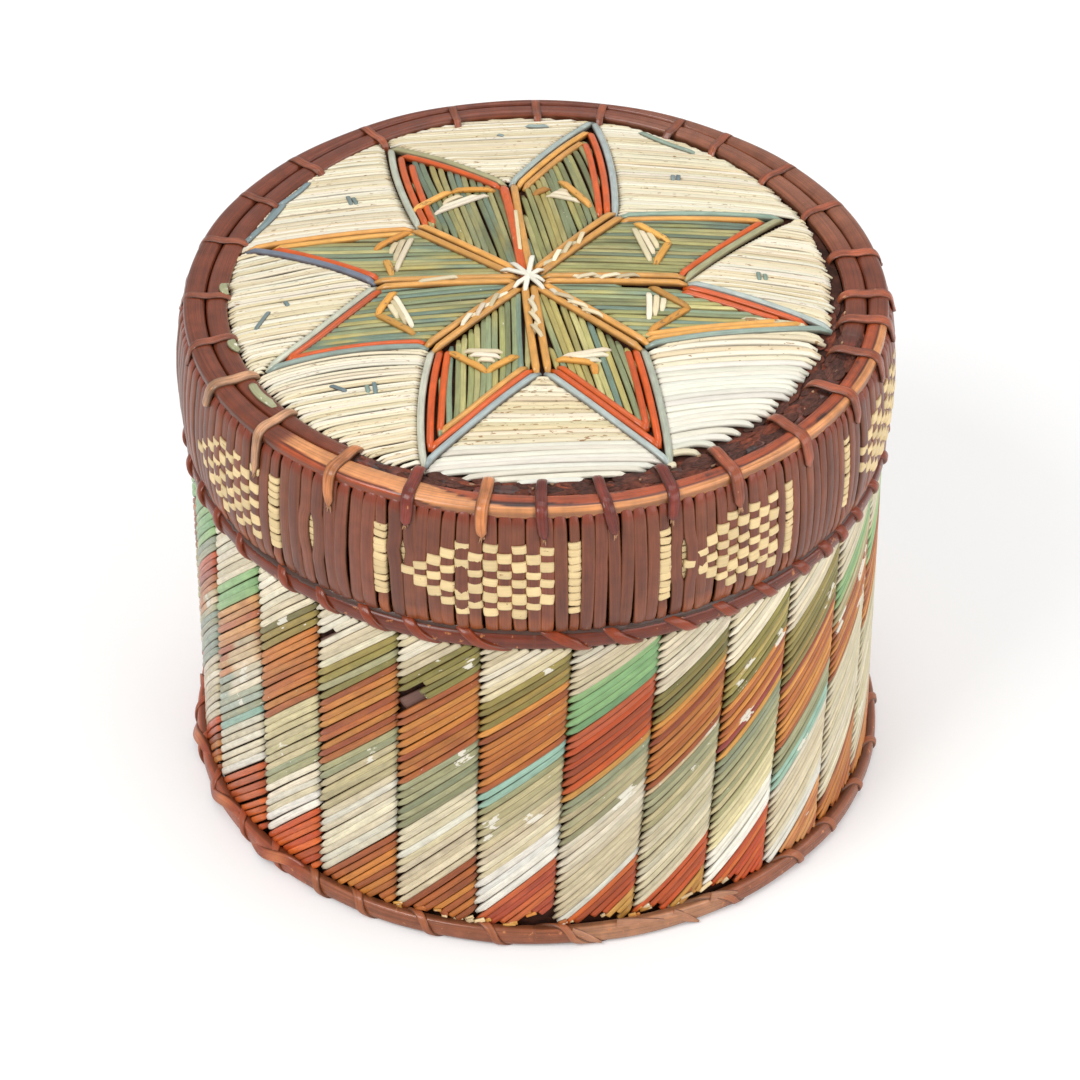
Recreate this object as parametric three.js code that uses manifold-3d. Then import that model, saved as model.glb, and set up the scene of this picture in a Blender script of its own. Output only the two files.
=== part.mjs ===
// A lidded round birch-bark box with dyed porcupine quills and split-root bindings.
// Millimetres, +Z up, origin at the centre of the bottom face, front of the box along -Y.

import * as THREE from 'three';
import { mergeVertices } from 'three/addons/utils/BufferGeometryUtils.js';
import Module from 'manifold-3d';

const wasm = await Module();
wasm.setup();

// Fits and roundness
const CLEARANCE = 0.3; // between pieces that touch on the real box
const LID_SLIP = 0.5; // between the liner and the lid that slides over it
const LID_SEAT = 0.3; // under the lid's lower hoop, where it stands on the wall
const SEGMENTS = 36; // sides of every turned piece

// Bark shells of the box
const LINER_INNER_RADIUS = 70.9;
const LINER_THICKNESS = 1.4;
const WALL_THICKNESS = 1.6;
const WALL_HEIGHT = 83;
const BASE_THICKNESS = 2.5;

// Quill columns on the wall
const COLUMN_COUNT = 26;
const FIRST_MEASURED_COLUMN = 22;
// Edges of the columns that show, in degrees round from the front, at the top and at the foot of the wall
const TOP_EDGES = [-79.5, -66, -51.6, -37.6, -22.4, -8.7, 5.8, 20.2, 33, 45.8, 59.7, 74];
const FOOT_EDGES = [-85, -70, -52.3, -38.8, -23.7, -9.9, 3, 16.4, 29.1, 41.8, 56, 69.3];
const COLUMN_GAP = 0.6; // between neighbouring columns
const COLUMN_EDGE_THICKNESS = 0.8; // where the quills turn in
const COLUMN_CROWN_THICKNESS = 1.7; // at mid column
const COLUMN_STEPS = 4; // flats across one column

// Hoops of split root: half width along the radius, half height
const HOOP_SIDES = 8;
const BASE_HOOP_HALF_WIDTH = 1.1;
const BASE_HOOP_HALF_HEIGHT = 1.7;
const FOOT_LIFT = 0.2; // keeps the foot binding off the table
const LOWER_HOOP_HALF_WIDTH = 1.15;
const LOWER_HOOP_HALF_HEIGHT = 1.25;
const RIM_HOOP_HALF_WIDTH = 2.2;
const RIM_HOOP_HALF_HEIGHT = 1.5;

// Root wound round the hoops
const BINDING_WIDTH = 2.2;
const BINDING_THICKNESS = 0.5;
const BINDING_LOOPS = 24;
const STEPS_PER_LOOP = 16;
const LASHING_CORNER = 0.8; // the lashing's cut across each corner of its path
const LASHING_UNDER_SHARES = [0, 0.1, 0.25, 0.5, 0.75, 0.9, 1]; // stations of its run under the hoops

// Lid side
const BAND_THICKNESS = 1;
const BAND_HEIGHT = 28;
const WEFT_THICKNESS = 0.5;
const WEFT_HEIGHT = 20;
const STRIP_COUNT = 176;
const STRIP_THICKNESS = 1.3;
const STRIP_GROOVE = 0.5;
const STRIP_BOW = 1.6; // how far the side swells at half height

// Lid top
const FLANGE_THICKNESS = 1.6; // of the bark under the rim hoops
const DOME_STEP = 2.5; // from the flange up to the edge of the dome
const DOME_RISE = 4.7;
const BARK_THICKNESS = 2;
const LINING_THICKNESS = 1.1;
const LINER_HEADROOM = 0.6; // over the liner, under the lining
const QUILL_LAYER_THICKNESS = 1;
const DOME_RINGS = 4; // flats from the middle of the dome to its edge

// Star on the lid: angles in degrees from +X, tips and notches in turn
const STAR_TIP_ANGLES = [-13, 27, 79, 120, 167, 207, 250, 295];
const STAR_NOTCH_ANGLES = [0, 53, 100, 145, 182, 229, 272, 313];
const STAR_TIP_INSET = 2.3; // from the edge of the dome
const STAR_NOTCH_RADIUS = 34;
const OUTLINE_WIDTH = 1.3; // one quill, blue or red
const SPOKE_WIDTH = 2;

const FULL_TURN = 2 * Math.PI;
const FRONT_ANGLE = -90; // of the box's front, in degrees from +X
const polar = (radius, angle) => new THREE.Vector2(radius * Math.cos(angle), radius * Math.sin(angle));
const ray = (radius, degrees) => polar(radius, THREE.MathUtils.degToRad(degrees));

// Radii, from the inside out
const linerOuterRadius = LINER_INNER_RADIUS + LINER_THICKNESS;
const wallInnerRadius = linerOuterRadius + CLEARANCE;
const wallOuterRadius = wallInnerRadius + WALL_THICKNESS;
const columnInnerRadius = wallOuterRadius + CLEARANCE;
const bandInnerRadius = linerOuterRadius + LID_SLIP;
const bandOuterRadius = bandInnerRadius + BAND_THICKNESS;
const weftInnerRadius = bandOuterRadius + CLEARANCE;
const weftOuterRadius = weftInnerRadius + WEFT_THICKNESS;
const stripInnerRadius = weftOuterRadius + CLEARANCE;
const stripOuterRadius = stripInnerRadius + STRIP_THICKNESS;
const flangeRadius = bandInnerRadius - CLEARANCE;

// Half sizes of the path that a binding follows round its hoop
const bindingOffset = CLEARANCE + BINDING_THICKNESS / 2;
const bindingPath = (halfSize) => (halfSize + bindingOffset) / Math.cos(Math.PI / STEPS_PER_LOOP);
const bindingReach = (halfSize) => bindingPath(halfSize) + BINDING_THICKNESS / 2;

const baseHoop = {
  radius: wallOuterRadius + CLEARANCE + bindingReach(BASE_HOOP_HALF_WIDTH),
  z: FOOT_LIFT + bindingReach(BASE_HOOP_HALF_HEIGHT),
  halfWidth: BASE_HOOP_HALF_WIDTH,
  halfHeight: BASE_HOOP_HALF_HEIGHT,
};
const lowerHoop = {
  radius: bandInnerRadius + bindingReach(LOWER_HOOP_HALF_WIDTH),
  z: WALL_HEIGHT + LID_SEAT + bindingReach(LOWER_HOOP_HALF_HEIGHT),
  halfWidth: LOWER_HOOP_HALF_WIDTH,
  halfHeight: LOWER_HOOP_HALF_HEIGHT,
};

// Heights, from the table up
const linerBottom = BASE_THICKNESS + CLEARANCE;
const columnBottom = baseHoop.z + bindingReach(BASE_HOOP_HALF_HEIGHT) + CLEARANCE;
const bandBottom = lowerHoop.z + bindingReach(LOWER_HOOP_HALF_HEIGHT) + CLEARANCE;
const bandTop = bandBottom + BAND_HEIGHT;
const flangeBottom = bandTop - FLANGE_THICKNESS;
const liningFlangeTop = flangeBottom - CLEARANCE;
const liningFlangeBottom = liningFlangeTop - LINING_THICKNESS;
const linerTop = liningFlangeBottom - LINER_HEADROOM;
const rimHoopZ = bandTop + 2 * CLEARANCE + BINDING_THICKNESS + RIM_HOOP_HALF_HEIGHT;

// The two rim hoops lie side by side, the outer one flush with the strips
const outerRimHoop = {
  radius: stripOuterRadius - RIM_HOOP_HALF_WIDTH,
  z: rimHoopZ,
  halfWidth: RIM_HOOP_HALF_WIDTH,
  halfHeight: RIM_HOOP_HALF_HEIGHT,
};
const innerRimHoop = { ...outerRimHoop, radius: outerRimHoop.radius - 2 * RIM_HOOP_HALF_WIDTH - CLEARANCE };

// The dome starts inside the lashing
const lashingInnerRadius = innerRimHoop.radius - RIM_HOOP_HALF_WIDTH - bindingOffset;
const domeRadius = lashingInnerRadius - BINDING_THICKNESS / 2 - CLEARANCE;
const domeEdge = bandTop + DOME_STEP;
const domeHeight = (r) => domeEdge + DOME_RISE * (1 - (r / domeRadius) ** 2);

// Closed solid of revolution about Z; the profile is [radius, z] points, counterclockwise
function turned(profile) {
  const points = profile.map(([r, z]) => new THREE.Vector2(r, z));
  return new THREE.LatheGeometry(points, SEGMENTS).rotateX(Math.PI / 2);
}

function tube(innerRadius, outerRadius, bottom, top) {
  return turned([
    [innerRadius, bottom],
    [outerRadius, bottom],
    [outerRadius, top],
    [innerRadius, top],
    [innerRadius, bottom],
  ]);
}

function hoop({ radius, z, halfWidth, halfHeight }) {
  const profile = [];
  for (let side = 0; side <= HOOP_SIDES; side += 1) {
    const angle = (FULL_TURN * (side % HOOP_SIDES)) / HOOP_SIDES;
    profile.push([radius + halfWidth * Math.cos(angle), z + halfHeight * Math.sin(angle)]);
  }
  return turned(profile);
}

// Points of the dome from the middle out to a radius, lowered by an offset
function domeProfile(radius, offset) {
  const profile = [];
  for (let ring = 0; ring <= DOME_RINGS; ring += 1) {
    const r = (radius * ring) / DOME_RINGS;
    profile.push([r, domeHeight(r) - offset]);
  }
  return profile;
}

// Domed bark disc whose edge steps down to a flat flange under the rim hoops
function steppedDome(topRadius, topOffset, thickness, flangeTop, flangeThickness) {
  const under = domeProfile(topRadius - thickness, topOffset + thickness);
  const over = domeProfile(topRadius, topOffset).reverse();
  return turned([
    ...under,
    [topRadius - thickness, flangeTop - flangeThickness],
    [flangeRadius, flangeTop - flangeThickness],
    [flangeRadius, flangeTop],
    [topRadius, flangeTop],
    ...over,
  ]);
}

// Flat strip of root swept through stations, each with a centre, an outward and a sideways direction
function sweptStrip(stations, width, thickness) {
  const positions = [];
  for (const { centre, out, side } of stations) {
    for (const [across, away] of [[-1, -1], [1, -1], [1, 1], [-1, 1]]) {
      const corner = centre.clone();
      corner.addScaledVector(side, (across * width) / 2);
      corner.addScaledVector(out, (away * thickness) / 2);
      positions.push(corner.x, corner.y, corner.z);
    }
  }
  const index = [0, 1, 2, 0, 2, 3];
  for (let station = 1; station < stations.length; station += 1) {
    const here = station * 4;
    const before = here - 4;
    for (let corner = 0; corner < 4; corner += 1) {
      const next = (corner + 1) % 4;
      // Both broad faces fold along the same diagonal, so the strip keeps its thickness as it twists
      if (corner < 2) {
        index.push(before + corner, here + corner, here + next);
        index.push(before + corner, here + next, before + next);
      } else {
        index.push(before + corner, here + corner, before + next);
        index.push(before + next, here + corner, here + next);
      }
    }
  }
  const last = (stations.length - 1) * 4;
  index.push(last, last + 2, last + 1, last, last + 3, last + 2);
  const geometry = new THREE.BufferGeometry();
  geometry.setAttribute('position', new THREE.Float32BufferAttribute(positions, 3));
  geometry.setIndex(index);
  geometry.computeVertexNormals();
  return geometry;
}

// Adds the sideways direction, square to the run and to the outward direction, to each station
function withSides(stations) {
  return stations.map(({ centre, out }, place) => {
    const before = stations[Math.max(place - 1, 0)].centre;
    const after = stations[Math.min(place + 1, stations.length - 1)].centre;
    const run = after.clone().sub(before).normalize();
    const side = run.clone().cross(out).normalize();
    return { centre, out: side.clone().cross(run).normalize(), side };
  });
}

// Least distance between stretches of one strip that are at least half a loop apart
function leastGapToItself(stations, width, thickness, stationsPerLoop) {
  const finePoints = [];
  const parts = 3;
  for (let place = 0; place < stations.length - 1; place += 1) {
    for (let part = 0; part < parts; part += 1) {
      const share = part / parts;
      const centre = stations[place].centre.clone().lerp(stations[place + 1].centre, share);
      const side = stations[place].side.clone().lerp(stations[place + 1].side, share);
      const out = stations[place].out.clone().lerp(stations[place + 1].out, share);
      for (const across of [-1, 0, 1]) {
        for (const away of [-1, 1]) {
          const point = centre.clone();
          point.addScaledVector(side, (across * width) / 2);
          point.addScaledVector(out, (away * thickness) / 2);
          finePoints.push({ place: place + share, point });
        }
      }
    }
  }
  let least = Infinity;
  for (let one = 0; one < finePoints.length; one += 1) {
    for (let other = one + 1; other < finePoints.length; other += 1) {
      if (finePoints[other].place - finePoints[one].place >= stationsPerLoop / 2) {
        least = Math.min(least, finePoints[one].point.distanceTo(finePoints[other].point));
      }
    }
  }
  return least;
}

function winding(name, stations, stationsPerLoop) {
  const sided = withSides(stations);
  const gap = leastGapToItself(sided, BINDING_WIDTH, BINDING_THICKNESS, stationsPerLoop);
  console.log(`${name}: least gap to itself ${gap.toFixed(2)} mm`);
  return sweptStrip(sided, BINDING_WIDTH, BINDING_THICKNESS);
}

const radialDirection = (angle) => new THREE.Vector3(Math.cos(angle), Math.sin(angle), 0);
const UP = new THREE.Vector3(0, 0, 1);

// Root that spirals once round the box along a hoop, loop after loop, and stops short of its start
function hoopBinding(name, { radius, z, halfWidth, halfHeight }) {
  const stations = [];
  const stepCount = BINDING_LOOPS * STEPS_PER_LOOP - STEPS_PER_LOOP / 2;
  for (let step = 0; step <= stepCount; step += 1) {
    const loopAngle = (FULL_TURN * step) / STEPS_PER_LOOP;
    const radial = radialDirection(loopAngle / BINDING_LOOPS);
    const across = bindingPath(halfWidth) * Math.cos(loopAngle);
    const rise = bindingPath(halfHeight) * Math.sin(loopAngle);
    const centre = radial.clone().multiplyScalar(radius + across).addScaledVector(UP, z + rise);
    const out = radial.clone().multiplyScalar(Math.cos(loopAngle) / halfWidth);
    out.addScaledVector(UP, Math.sin(loopAngle) / halfHeight).normalize();
    stations.push({ centre, out });
  }
  return winding(name, stations, STEPS_PER_LOOP);
}

// Root that crosses both rim hoops square on, and bends on to the next place underneath them
function rimLashing(name) {
  const inner = lashingInnerRadius;
  const outer = outerRimHoop.radius + RIM_HOOP_HALF_WIDTH + bindingOffset;
  const top = rimHoopZ + RIM_HOOP_HALF_HEIGHT + bindingOffset;
  const bottom = rimHoopZ - RIM_HOOP_HALF_HEIGHT - bindingOffset;
  const underneath = LASHING_UNDER_SHARES.map((share) => ({
    r: THREE.MathUtils.lerp(outer - LASHING_CORNER, inner + LASHING_CORNER, share),
    z: bottom,
    outR: 0,
    outZ: -1,
    advance: THREE.MathUtils.smoothstep(share, 0, 1),
  }));
  const loopStations = [
    { r: inner, z: top - LASHING_CORNER, outR: -1, outZ: 0.5, advance: 0 },
    { r: inner + LASHING_CORNER, z: top, outR: -0.5, outZ: 1, advance: 0 },
    { r: outer - LASHING_CORNER, z: top, outR: 0.5, outZ: 1, advance: 0 },
    { r: outer, z: top - LASHING_CORNER, outR: 1, outZ: 0.5, advance: 0 },
    { r: outer, z: bottom + LASHING_CORNER, outR: 1, outZ: -0.5, advance: 0 },
    ...underneath,
    { r: inner, z: bottom + LASHING_CORNER, outR: -1, outZ: -0.5, advance: 1 },
  ];
  const stations = [];
  for (let loop = 0; loop < BINDING_LOOPS; loop += 1) {
    const isLast = loop === BINDING_LOOPS - 1;
    for (const { r, z, outR, outZ, advance } of loopStations) {
      if (isLast && advance > 0) {
        break;
      }
      const radial = radialDirection((FULL_TURN * (loop + advance)) / BINDING_LOOPS);
      const centre = radial.clone().multiplyScalar(r).addScaledVector(UP, z);
      const out = radial.clone().multiplyScalar(outR).addScaledVector(UP, outZ).normalize();
      stations.push({ centre, out });
    }
  }
  return winding(name, stations, loopStations.length);
}

// Edges of all the columns in turn: those that don't show are evenly spaced
function allEdges(measured) {
  const last = measured[measured.length - 1];
  const unseen = COLUMN_COUNT - measured.length + 1;
  const pitch = (measured[0] + 360 - last) / unseen;
  const edges = [...measured];
  for (let step = 1; step <= unseen; step += 1) {
    edges.push(last + pitch * step);
  }
  return edges;
}

const topEdges = allEdges(TOP_EDGES);
const footEdges = allEdges(FOOT_EDGES);

// One column of quills: a crowned plate that leans as it follows the wall
function quillColumn(turn) {
  const halfGap = THREE.MathUtils.radToDeg(COLUMN_GAP / 2 / columnInnerRadius);
  const positions = [];
  for (const [edges, z] of [[footEdges, columnBottom], [topEdges, WALL_HEIGHT]]) {
    for (const isOuter of [false, true]) {
      for (let step = 0; step <= COLUMN_STEPS; step += 1) {
        const share = step / COLUMN_STEPS;
        const crown = (COLUMN_CROWN_THICKNESS - COLUMN_EDGE_THICKNESS) * (1 - (2 * share - 1) ** 2);
        const thickness = isOuter ? COLUMN_EDGE_THICKNESS + crown : 0;
        const front = THREE.MathUtils.lerp(edges[turn] + halfGap, edges[turn + 1] - halfGap, share);
        const { x, y } = ray(columnInnerRadius + thickness, FRONT_ANGLE + front);
        positions.push(x, y, z);
      }
    }
  }
  const row = COLUMN_STEPS + 1;
  const [footInner, footOuter, topInner, topOuter] = [0, row, 2 * row, 3 * row];
  const index = [];
  const quad = (a, b, c, d) => index.push(a, b, c, a, c, d);
  for (let left = 0; left < COLUMN_STEPS; left += 1) {
    const right = left + 1;
    // The faces along the wall fold on the short diagonal, which keeps to the wall's curve
    quad(footOuter + right, topOuter + right, topOuter + left, footOuter + left);
    quad(footInner + right, footInner + left, topInner + left, topInner + right);
    quad(topOuter + left, topOuter + right, topInner + right, topInner + left);
    quad(footInner + left, footInner + right, footOuter + right, footOuter + left);
  }
  quad(footInner, footOuter, topOuter, topInner);
  quad(footOuter + COLUMN_STEPS, footInner + COLUMN_STEPS, topInner + COLUMN_STEPS, topOuter + COLUMN_STEPS);
  const geometry = new THREE.BufferGeometry();
  geometry.setAttribute('position', new THREE.Float32BufferAttribute(positions, 3));
  geometry.setIndex(index);
  geometry.computeVertexNormals();
  return geometry;
}

// Ring of upright root strips with a groove between each two, swelling at half height
function rootStrips() {
  const outline = [];
  for (let half = 0; half < 2 * STRIP_COUNT; half += 1) {
    const radius = stripOuterRadius - (half % 2) * STRIP_GROOVE;
    const angle = (Math.PI * half) / STRIP_COUNT;
    outline.push(polar(radius, angle));
  }
  const shape = new THREE.Shape(outline);
  const hole = [];
  for (let segment = 0; segment < SEGMENTS; segment += 1) {
    const angle = -Math.PI / 2 - (FULL_TURN * segment) / SEGMENTS;
    hole.push(polar(stripInnerRadius, angle));
  }
  shape.holes.push(new THREE.Path(hole));
  const geometry = new THREE.ExtrudeGeometry(shape, { depth: BAND_HEIGHT, steps: 2, bevelEnabled: false });
  const position = geometry.attributes.position;
  for (let vertex = 0; vertex < position.count; vertex += 1) {
    const share = (2 * position.getZ(vertex)) / BAND_HEIGHT - 1;
    const radius = Math.hypot(position.getX(vertex), position.getY(vertex));
    const swell = 1 + (STRIP_BOW * (1 - share ** 2)) / radius;
    position.setX(vertex, position.getX(vertex) * swell);
    position.setY(vertex, position.getY(vertex) * swell);
  }
  return geometry.translate(0, 0, bandBottom);
}

function toSolid(geometry) {
  geometry.deleteAttribute('normal');
  geometry.deleteAttribute('uv');
  const merged = mergeVertices(geometry);
  const corners = merged.index.array;
  const triangles = [];
  for (let corner = 0; corner < corners.length; corner += 3) {
    const [a, b, c] = corners.slice(corner, corner + 3);
    if (a !== b && b !== c && c !== a) {
      triangles.push(a, b, c);
    }
  }
  const vertProperties = Float32Array.from(merged.attributes.position.array);
  const triVerts = Uint32Array.from(triangles);
  return new wasm.Manifold(new wasm.Mesh({ numProp: 3, vertProperties, triVerts }));
}

function toGeometry(solid) {
  const { vertProperties, triVerts } = solid.getMesh();
  const geometry = new THREE.BufferGeometry();
  geometry.setAttribute('position', new THREE.BufferAttribute(vertProperties, 3));
  geometry.setIndex(new THREE.BufferAttribute(triVerts, 1));
  geometry.computeVertexNormals();
  return geometry;
}

// The quill layer over the whole dome, from which each figure of the star is cut
const quillLayer = toSolid(turned([
  ...domeProfile(domeRadius, -CLEARANCE),
  ...domeProfile(domeRadius, -CLEARANCE - QUILL_LAYER_THICKNESS).reverse(),
]));

function cutFromQuillLayer(shape) {
  const bottom = bandTop;
  const settings = { depth: domeHeight(0) + 2 * QUILL_LAYER_THICKNESS - bottom, bevelEnabled: false };
  const cutter = new THREE.ExtrudeGeometry(shape, settings).translate(0, 0, bottom);
  return toGeometry(quillLayer.intersect(toSolid(cutter)));
}

// Moves each edge of a counterclockwise outline outwards by its own distance
function offsetOutline(points, distances) {
  return points.map((point, place) => {
    const before = points[(place + points.length - 1) % points.length];
    const after = points[(place + 1) % points.length];
    const arriving = point.clone().sub(before).normalize();
    const leaving = after.clone().sub(point).normalize();
    const arrivingShift = distances[(place + points.length - 1) % points.length];
    const leavingShift = distances[place];
    const turn = arriving.cross(leaving);
    const along = (leavingShift - arrivingShift * arriving.dot(leaving)) / turn;
    return point.clone().add(new THREE.Vector2(
      arrivingShift * arriving.y + along * arriving.x,
      -arrivingShift * arriving.x + along * arriving.y,
    ));
  });
}

const tips = STAR_TIP_ANGLES.map((degrees) => ray(domeRadius - STAR_TIP_INSET, degrees));
const notches = STAR_NOTCH_ANGLES.map((degrees) => ray(STAR_NOTCH_RADIUS, degrees));
const pointCount = tips.length;
const starOutline = tips.flatMap((tip, point) => [tip, notches[point]]);

// The star's edge moved outwards, without passing the edge of the dome
function starMovedOut(distance) {
  const moved = offsetOutline(starOutline, starOutline.map(() => distance));
  return moved.map((point) => point.clampLength(0, domeRadius));
}

function starRing(innerShift, outerShift) {
  const shape = new THREE.Shape(starMovedOut(outerShift));
  shape.holes.push(new THREE.Path(starMovedOut(innerShift).reverse()));
  return cutFromQuillLayer(shape);
}

const outlineNear = CLEARANCE / 2;
const outlineFar = outlineNear + OUTLINE_WIDTH;
const figureShift = outlineFar + CLEARANCE;

// Kite between the middle, two notches and a tip, drawn in from the spokes and the outlines
function starPetal(point) {
  const firstNotch = notches[(point + pointCount - 1) % pointCount];
  const kite = [new THREE.Vector2(0, 0), firstNotch, tips[point], notches[point]];
  const spokeShift = -(SPOKE_WIDTH / 2 + CLEARANCE);
  const outline = offsetOutline(kite, [spokeShift, -figureShift, -figureShift, spokeShift]);
  return cutFromQuillLayer(new THREE.Shape(outline));
}

// Field between a notch, two tips and the edge of the dome
function creamField(point) {
  const moved = offsetOutline(starOutline, starOutline.map(() => figureShift));
  const tip = moved[2 * point];
  const notch = moved[2 * point + 1];
  const nextTip = moved[(2 * point + 2) % moved.length];
  const beyond = notch.clone().setLength(2 * domeRadius);
  return cutFromQuillLayer(new THREE.Shape([notch, tip, beyond, nextTip]));
}

function starSpokes() {
  const redEdge = starMovedOut(-outlineFar);
  const outline = [];
  for (let point = 0; point < pointCount; point += 1) {
    const angle = notches[point].angle();
    const length = redEdge[2 * point + 1].length() - CLEARANCE;
    const side = polar(SPOKE_WIDTH / 2, angle + Math.PI / 2);
    const end = polar(length, angle);
    outline.push(end.clone().sub(side), end.clone().add(side));
    const nextAngle = notches[(point + 1) % pointCount].angle();
    const halfTurn = ((nextAngle - angle + FULL_TURN) % FULL_TURN) / 2;
    outline.push(polar(SPOKE_WIDTH / 2 / Math.sin(halfTurn), angle + halfTurn));
  }
  return cutFromQuillLayer(new THREE.Shape(outline));
}

// Colours and finishes
const finish = (color, roughness) => ({ color, roughness, metalness: 0 });
const DARK_BARK = finish(0x5a3a2a, 0.8);
const PALE_BARK = finish(0xb08a5c, 0.85);
const ROOT_STRIP = finish(0x70422f, 0.55);
const RIM_ROOT = finish(0x6e3a2c, 0.45);
const BINDING_ROOT = finish(0x8a5236, 0.5);
const CREAM_QUILL = finish(0xe4d9bd, 0.4);
const BANDED_QUILL = finish(0xb99a62, 0.42);
const GREEN_QUILL = finish(0x82875a, 0.42);
const BLUE_QUILL = finish(0x96aaa6, 0.42);
const RED_QUILL = finish(0xc9602f, 0.42);
const OCHRE_QUILL = finish(0xd59a4a, 0.42);

const box = new THREE.Group();
const lid = new THREE.Group();

function place(group, name, geometry, look) {
  const mesh = new THREE.Mesh(geometry, new THREE.MeshStandardMaterial(look));
  mesh.name = name;
  group.add(mesh);
}

// Box
place(box, 'box_base_disc', turned([
  [0, 0],
  [wallInnerRadius - CLEARANCE, 0],
  [wallInnerRadius - CLEARANCE, BASE_THICKNESS],
  [0, BASE_THICKNESS],
]), PALE_BARK);
place(box, 'box_wall', tube(wallInnerRadius, wallOuterRadius, 0, WALL_HEIGHT), DARK_BARK);
place(box, 'box_liner', tube(LINER_INNER_RADIUS, linerOuterRadius, linerBottom, linerTop), PALE_BARK);
place(box, 'base_hoop', hoop(baseHoop), RIM_ROOT);
place(box, 'base_hoop_binding', hoopBinding('base_hoop_binding', baseHoop), BINDING_ROOT);
for (let turn = 0; turn < COLUMN_COUNT; turn += 1) {
  const column = ((FIRST_MEASURED_COLUMN - 1 + turn) % COLUMN_COUNT) + 1;
  const label = String(column).padStart(2, '0');
  place(box, `quill_column_${label}`, quillColumn(turn), BANDED_QUILL);
}

// Lid
place(lid, 'lid_band', tube(bandInnerRadius, bandOuterRadius, bandBottom, bandTop), DARK_BARK);
const weftBottom = bandBottom + (BAND_HEIGHT - WEFT_HEIGHT) / 2;
const weft = tube(weftInnerRadius, weftOuterRadius, weftBottom, weftBottom + WEFT_HEIGHT);
place(lid, 'lid_weft_quills', weft, CREAM_QUILL);
place(lid, 'lid_root_strips', rootStrips(), ROOT_STRIP);
place(lid, 'lower_hoop', hoop(lowerHoop), RIM_ROOT);
place(lid, 'lower_hoop_binding', hoopBinding('lower_hoop_binding', lowerHoop), BINDING_ROOT);
place(lid, 'outer_rim_hoop', hoop(outerRimHoop), RIM_ROOT);
place(lid, 'inner_rim_hoop', hoop(innerRimHoop), RIM_ROOT);
place(lid, 'rim_lashing', rimLashing('rim_lashing'), BINDING_ROOT);
place(lid, 'lid_top_bark', steppedDome(domeRadius, 0, BARK_THICKNESS, bandTop, FLANGE_THICKNESS), DARK_BARK);
const liningRadius = domeRadius - BARK_THICKNESS - CLEARANCE;
const liningOffset = BARK_THICKNESS + CLEARANCE;
const lining = steppedDome(liningRadius, liningOffset, LINING_THICKNESS, liningFlangeTop, LINING_THICKNESS);
place(lid, 'lid_lining', lining, PALE_BARK);
for (let point = 0; point < pointCount; point += 1) {
  place(lid, `star_petal_${point + 1}`, starPetal(point), GREEN_QUILL);
  place(lid, `cream_field_${point + 1}`, creamField(point), CREAM_QUILL);
}
place(lid, 'star_outline_blue', starRing(outlineNear, outlineFar), BLUE_QUILL);
place(lid, 'star_outline_red', starRing(-outlineFar, -outlineNear), RED_QUILL);
place(lid, 'star_spokes', starSpokes(), OCHRE_QUILL);

const quillBox = new THREE.Group();
quillBox.name = 'quill_box';
quillBox.add(box, lid);

export default quillBox;
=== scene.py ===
"""Quill box: a round lidded birch-bark box with dyed quills and root bindings, dressed round its CAD part.

Lengths are in mm until a mesh is made. Angles named front are degrees from the front of the box (-Y) to its
right (+X).
"""

import bpy
import numpy as np
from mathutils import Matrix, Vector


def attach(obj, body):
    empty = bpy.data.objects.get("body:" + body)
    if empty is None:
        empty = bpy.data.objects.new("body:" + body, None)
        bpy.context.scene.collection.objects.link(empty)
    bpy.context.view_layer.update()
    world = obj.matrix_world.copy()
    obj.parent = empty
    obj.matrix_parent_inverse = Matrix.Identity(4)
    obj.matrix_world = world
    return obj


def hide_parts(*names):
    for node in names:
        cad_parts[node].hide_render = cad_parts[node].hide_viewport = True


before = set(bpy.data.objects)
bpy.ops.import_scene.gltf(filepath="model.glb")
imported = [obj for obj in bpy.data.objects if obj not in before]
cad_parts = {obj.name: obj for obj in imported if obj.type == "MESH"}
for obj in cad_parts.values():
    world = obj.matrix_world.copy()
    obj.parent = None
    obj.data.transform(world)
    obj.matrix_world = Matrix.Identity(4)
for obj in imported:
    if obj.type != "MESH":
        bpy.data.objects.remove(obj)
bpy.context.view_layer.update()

MM = 0.001
UP = np.array((0, 0, 1))

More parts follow.
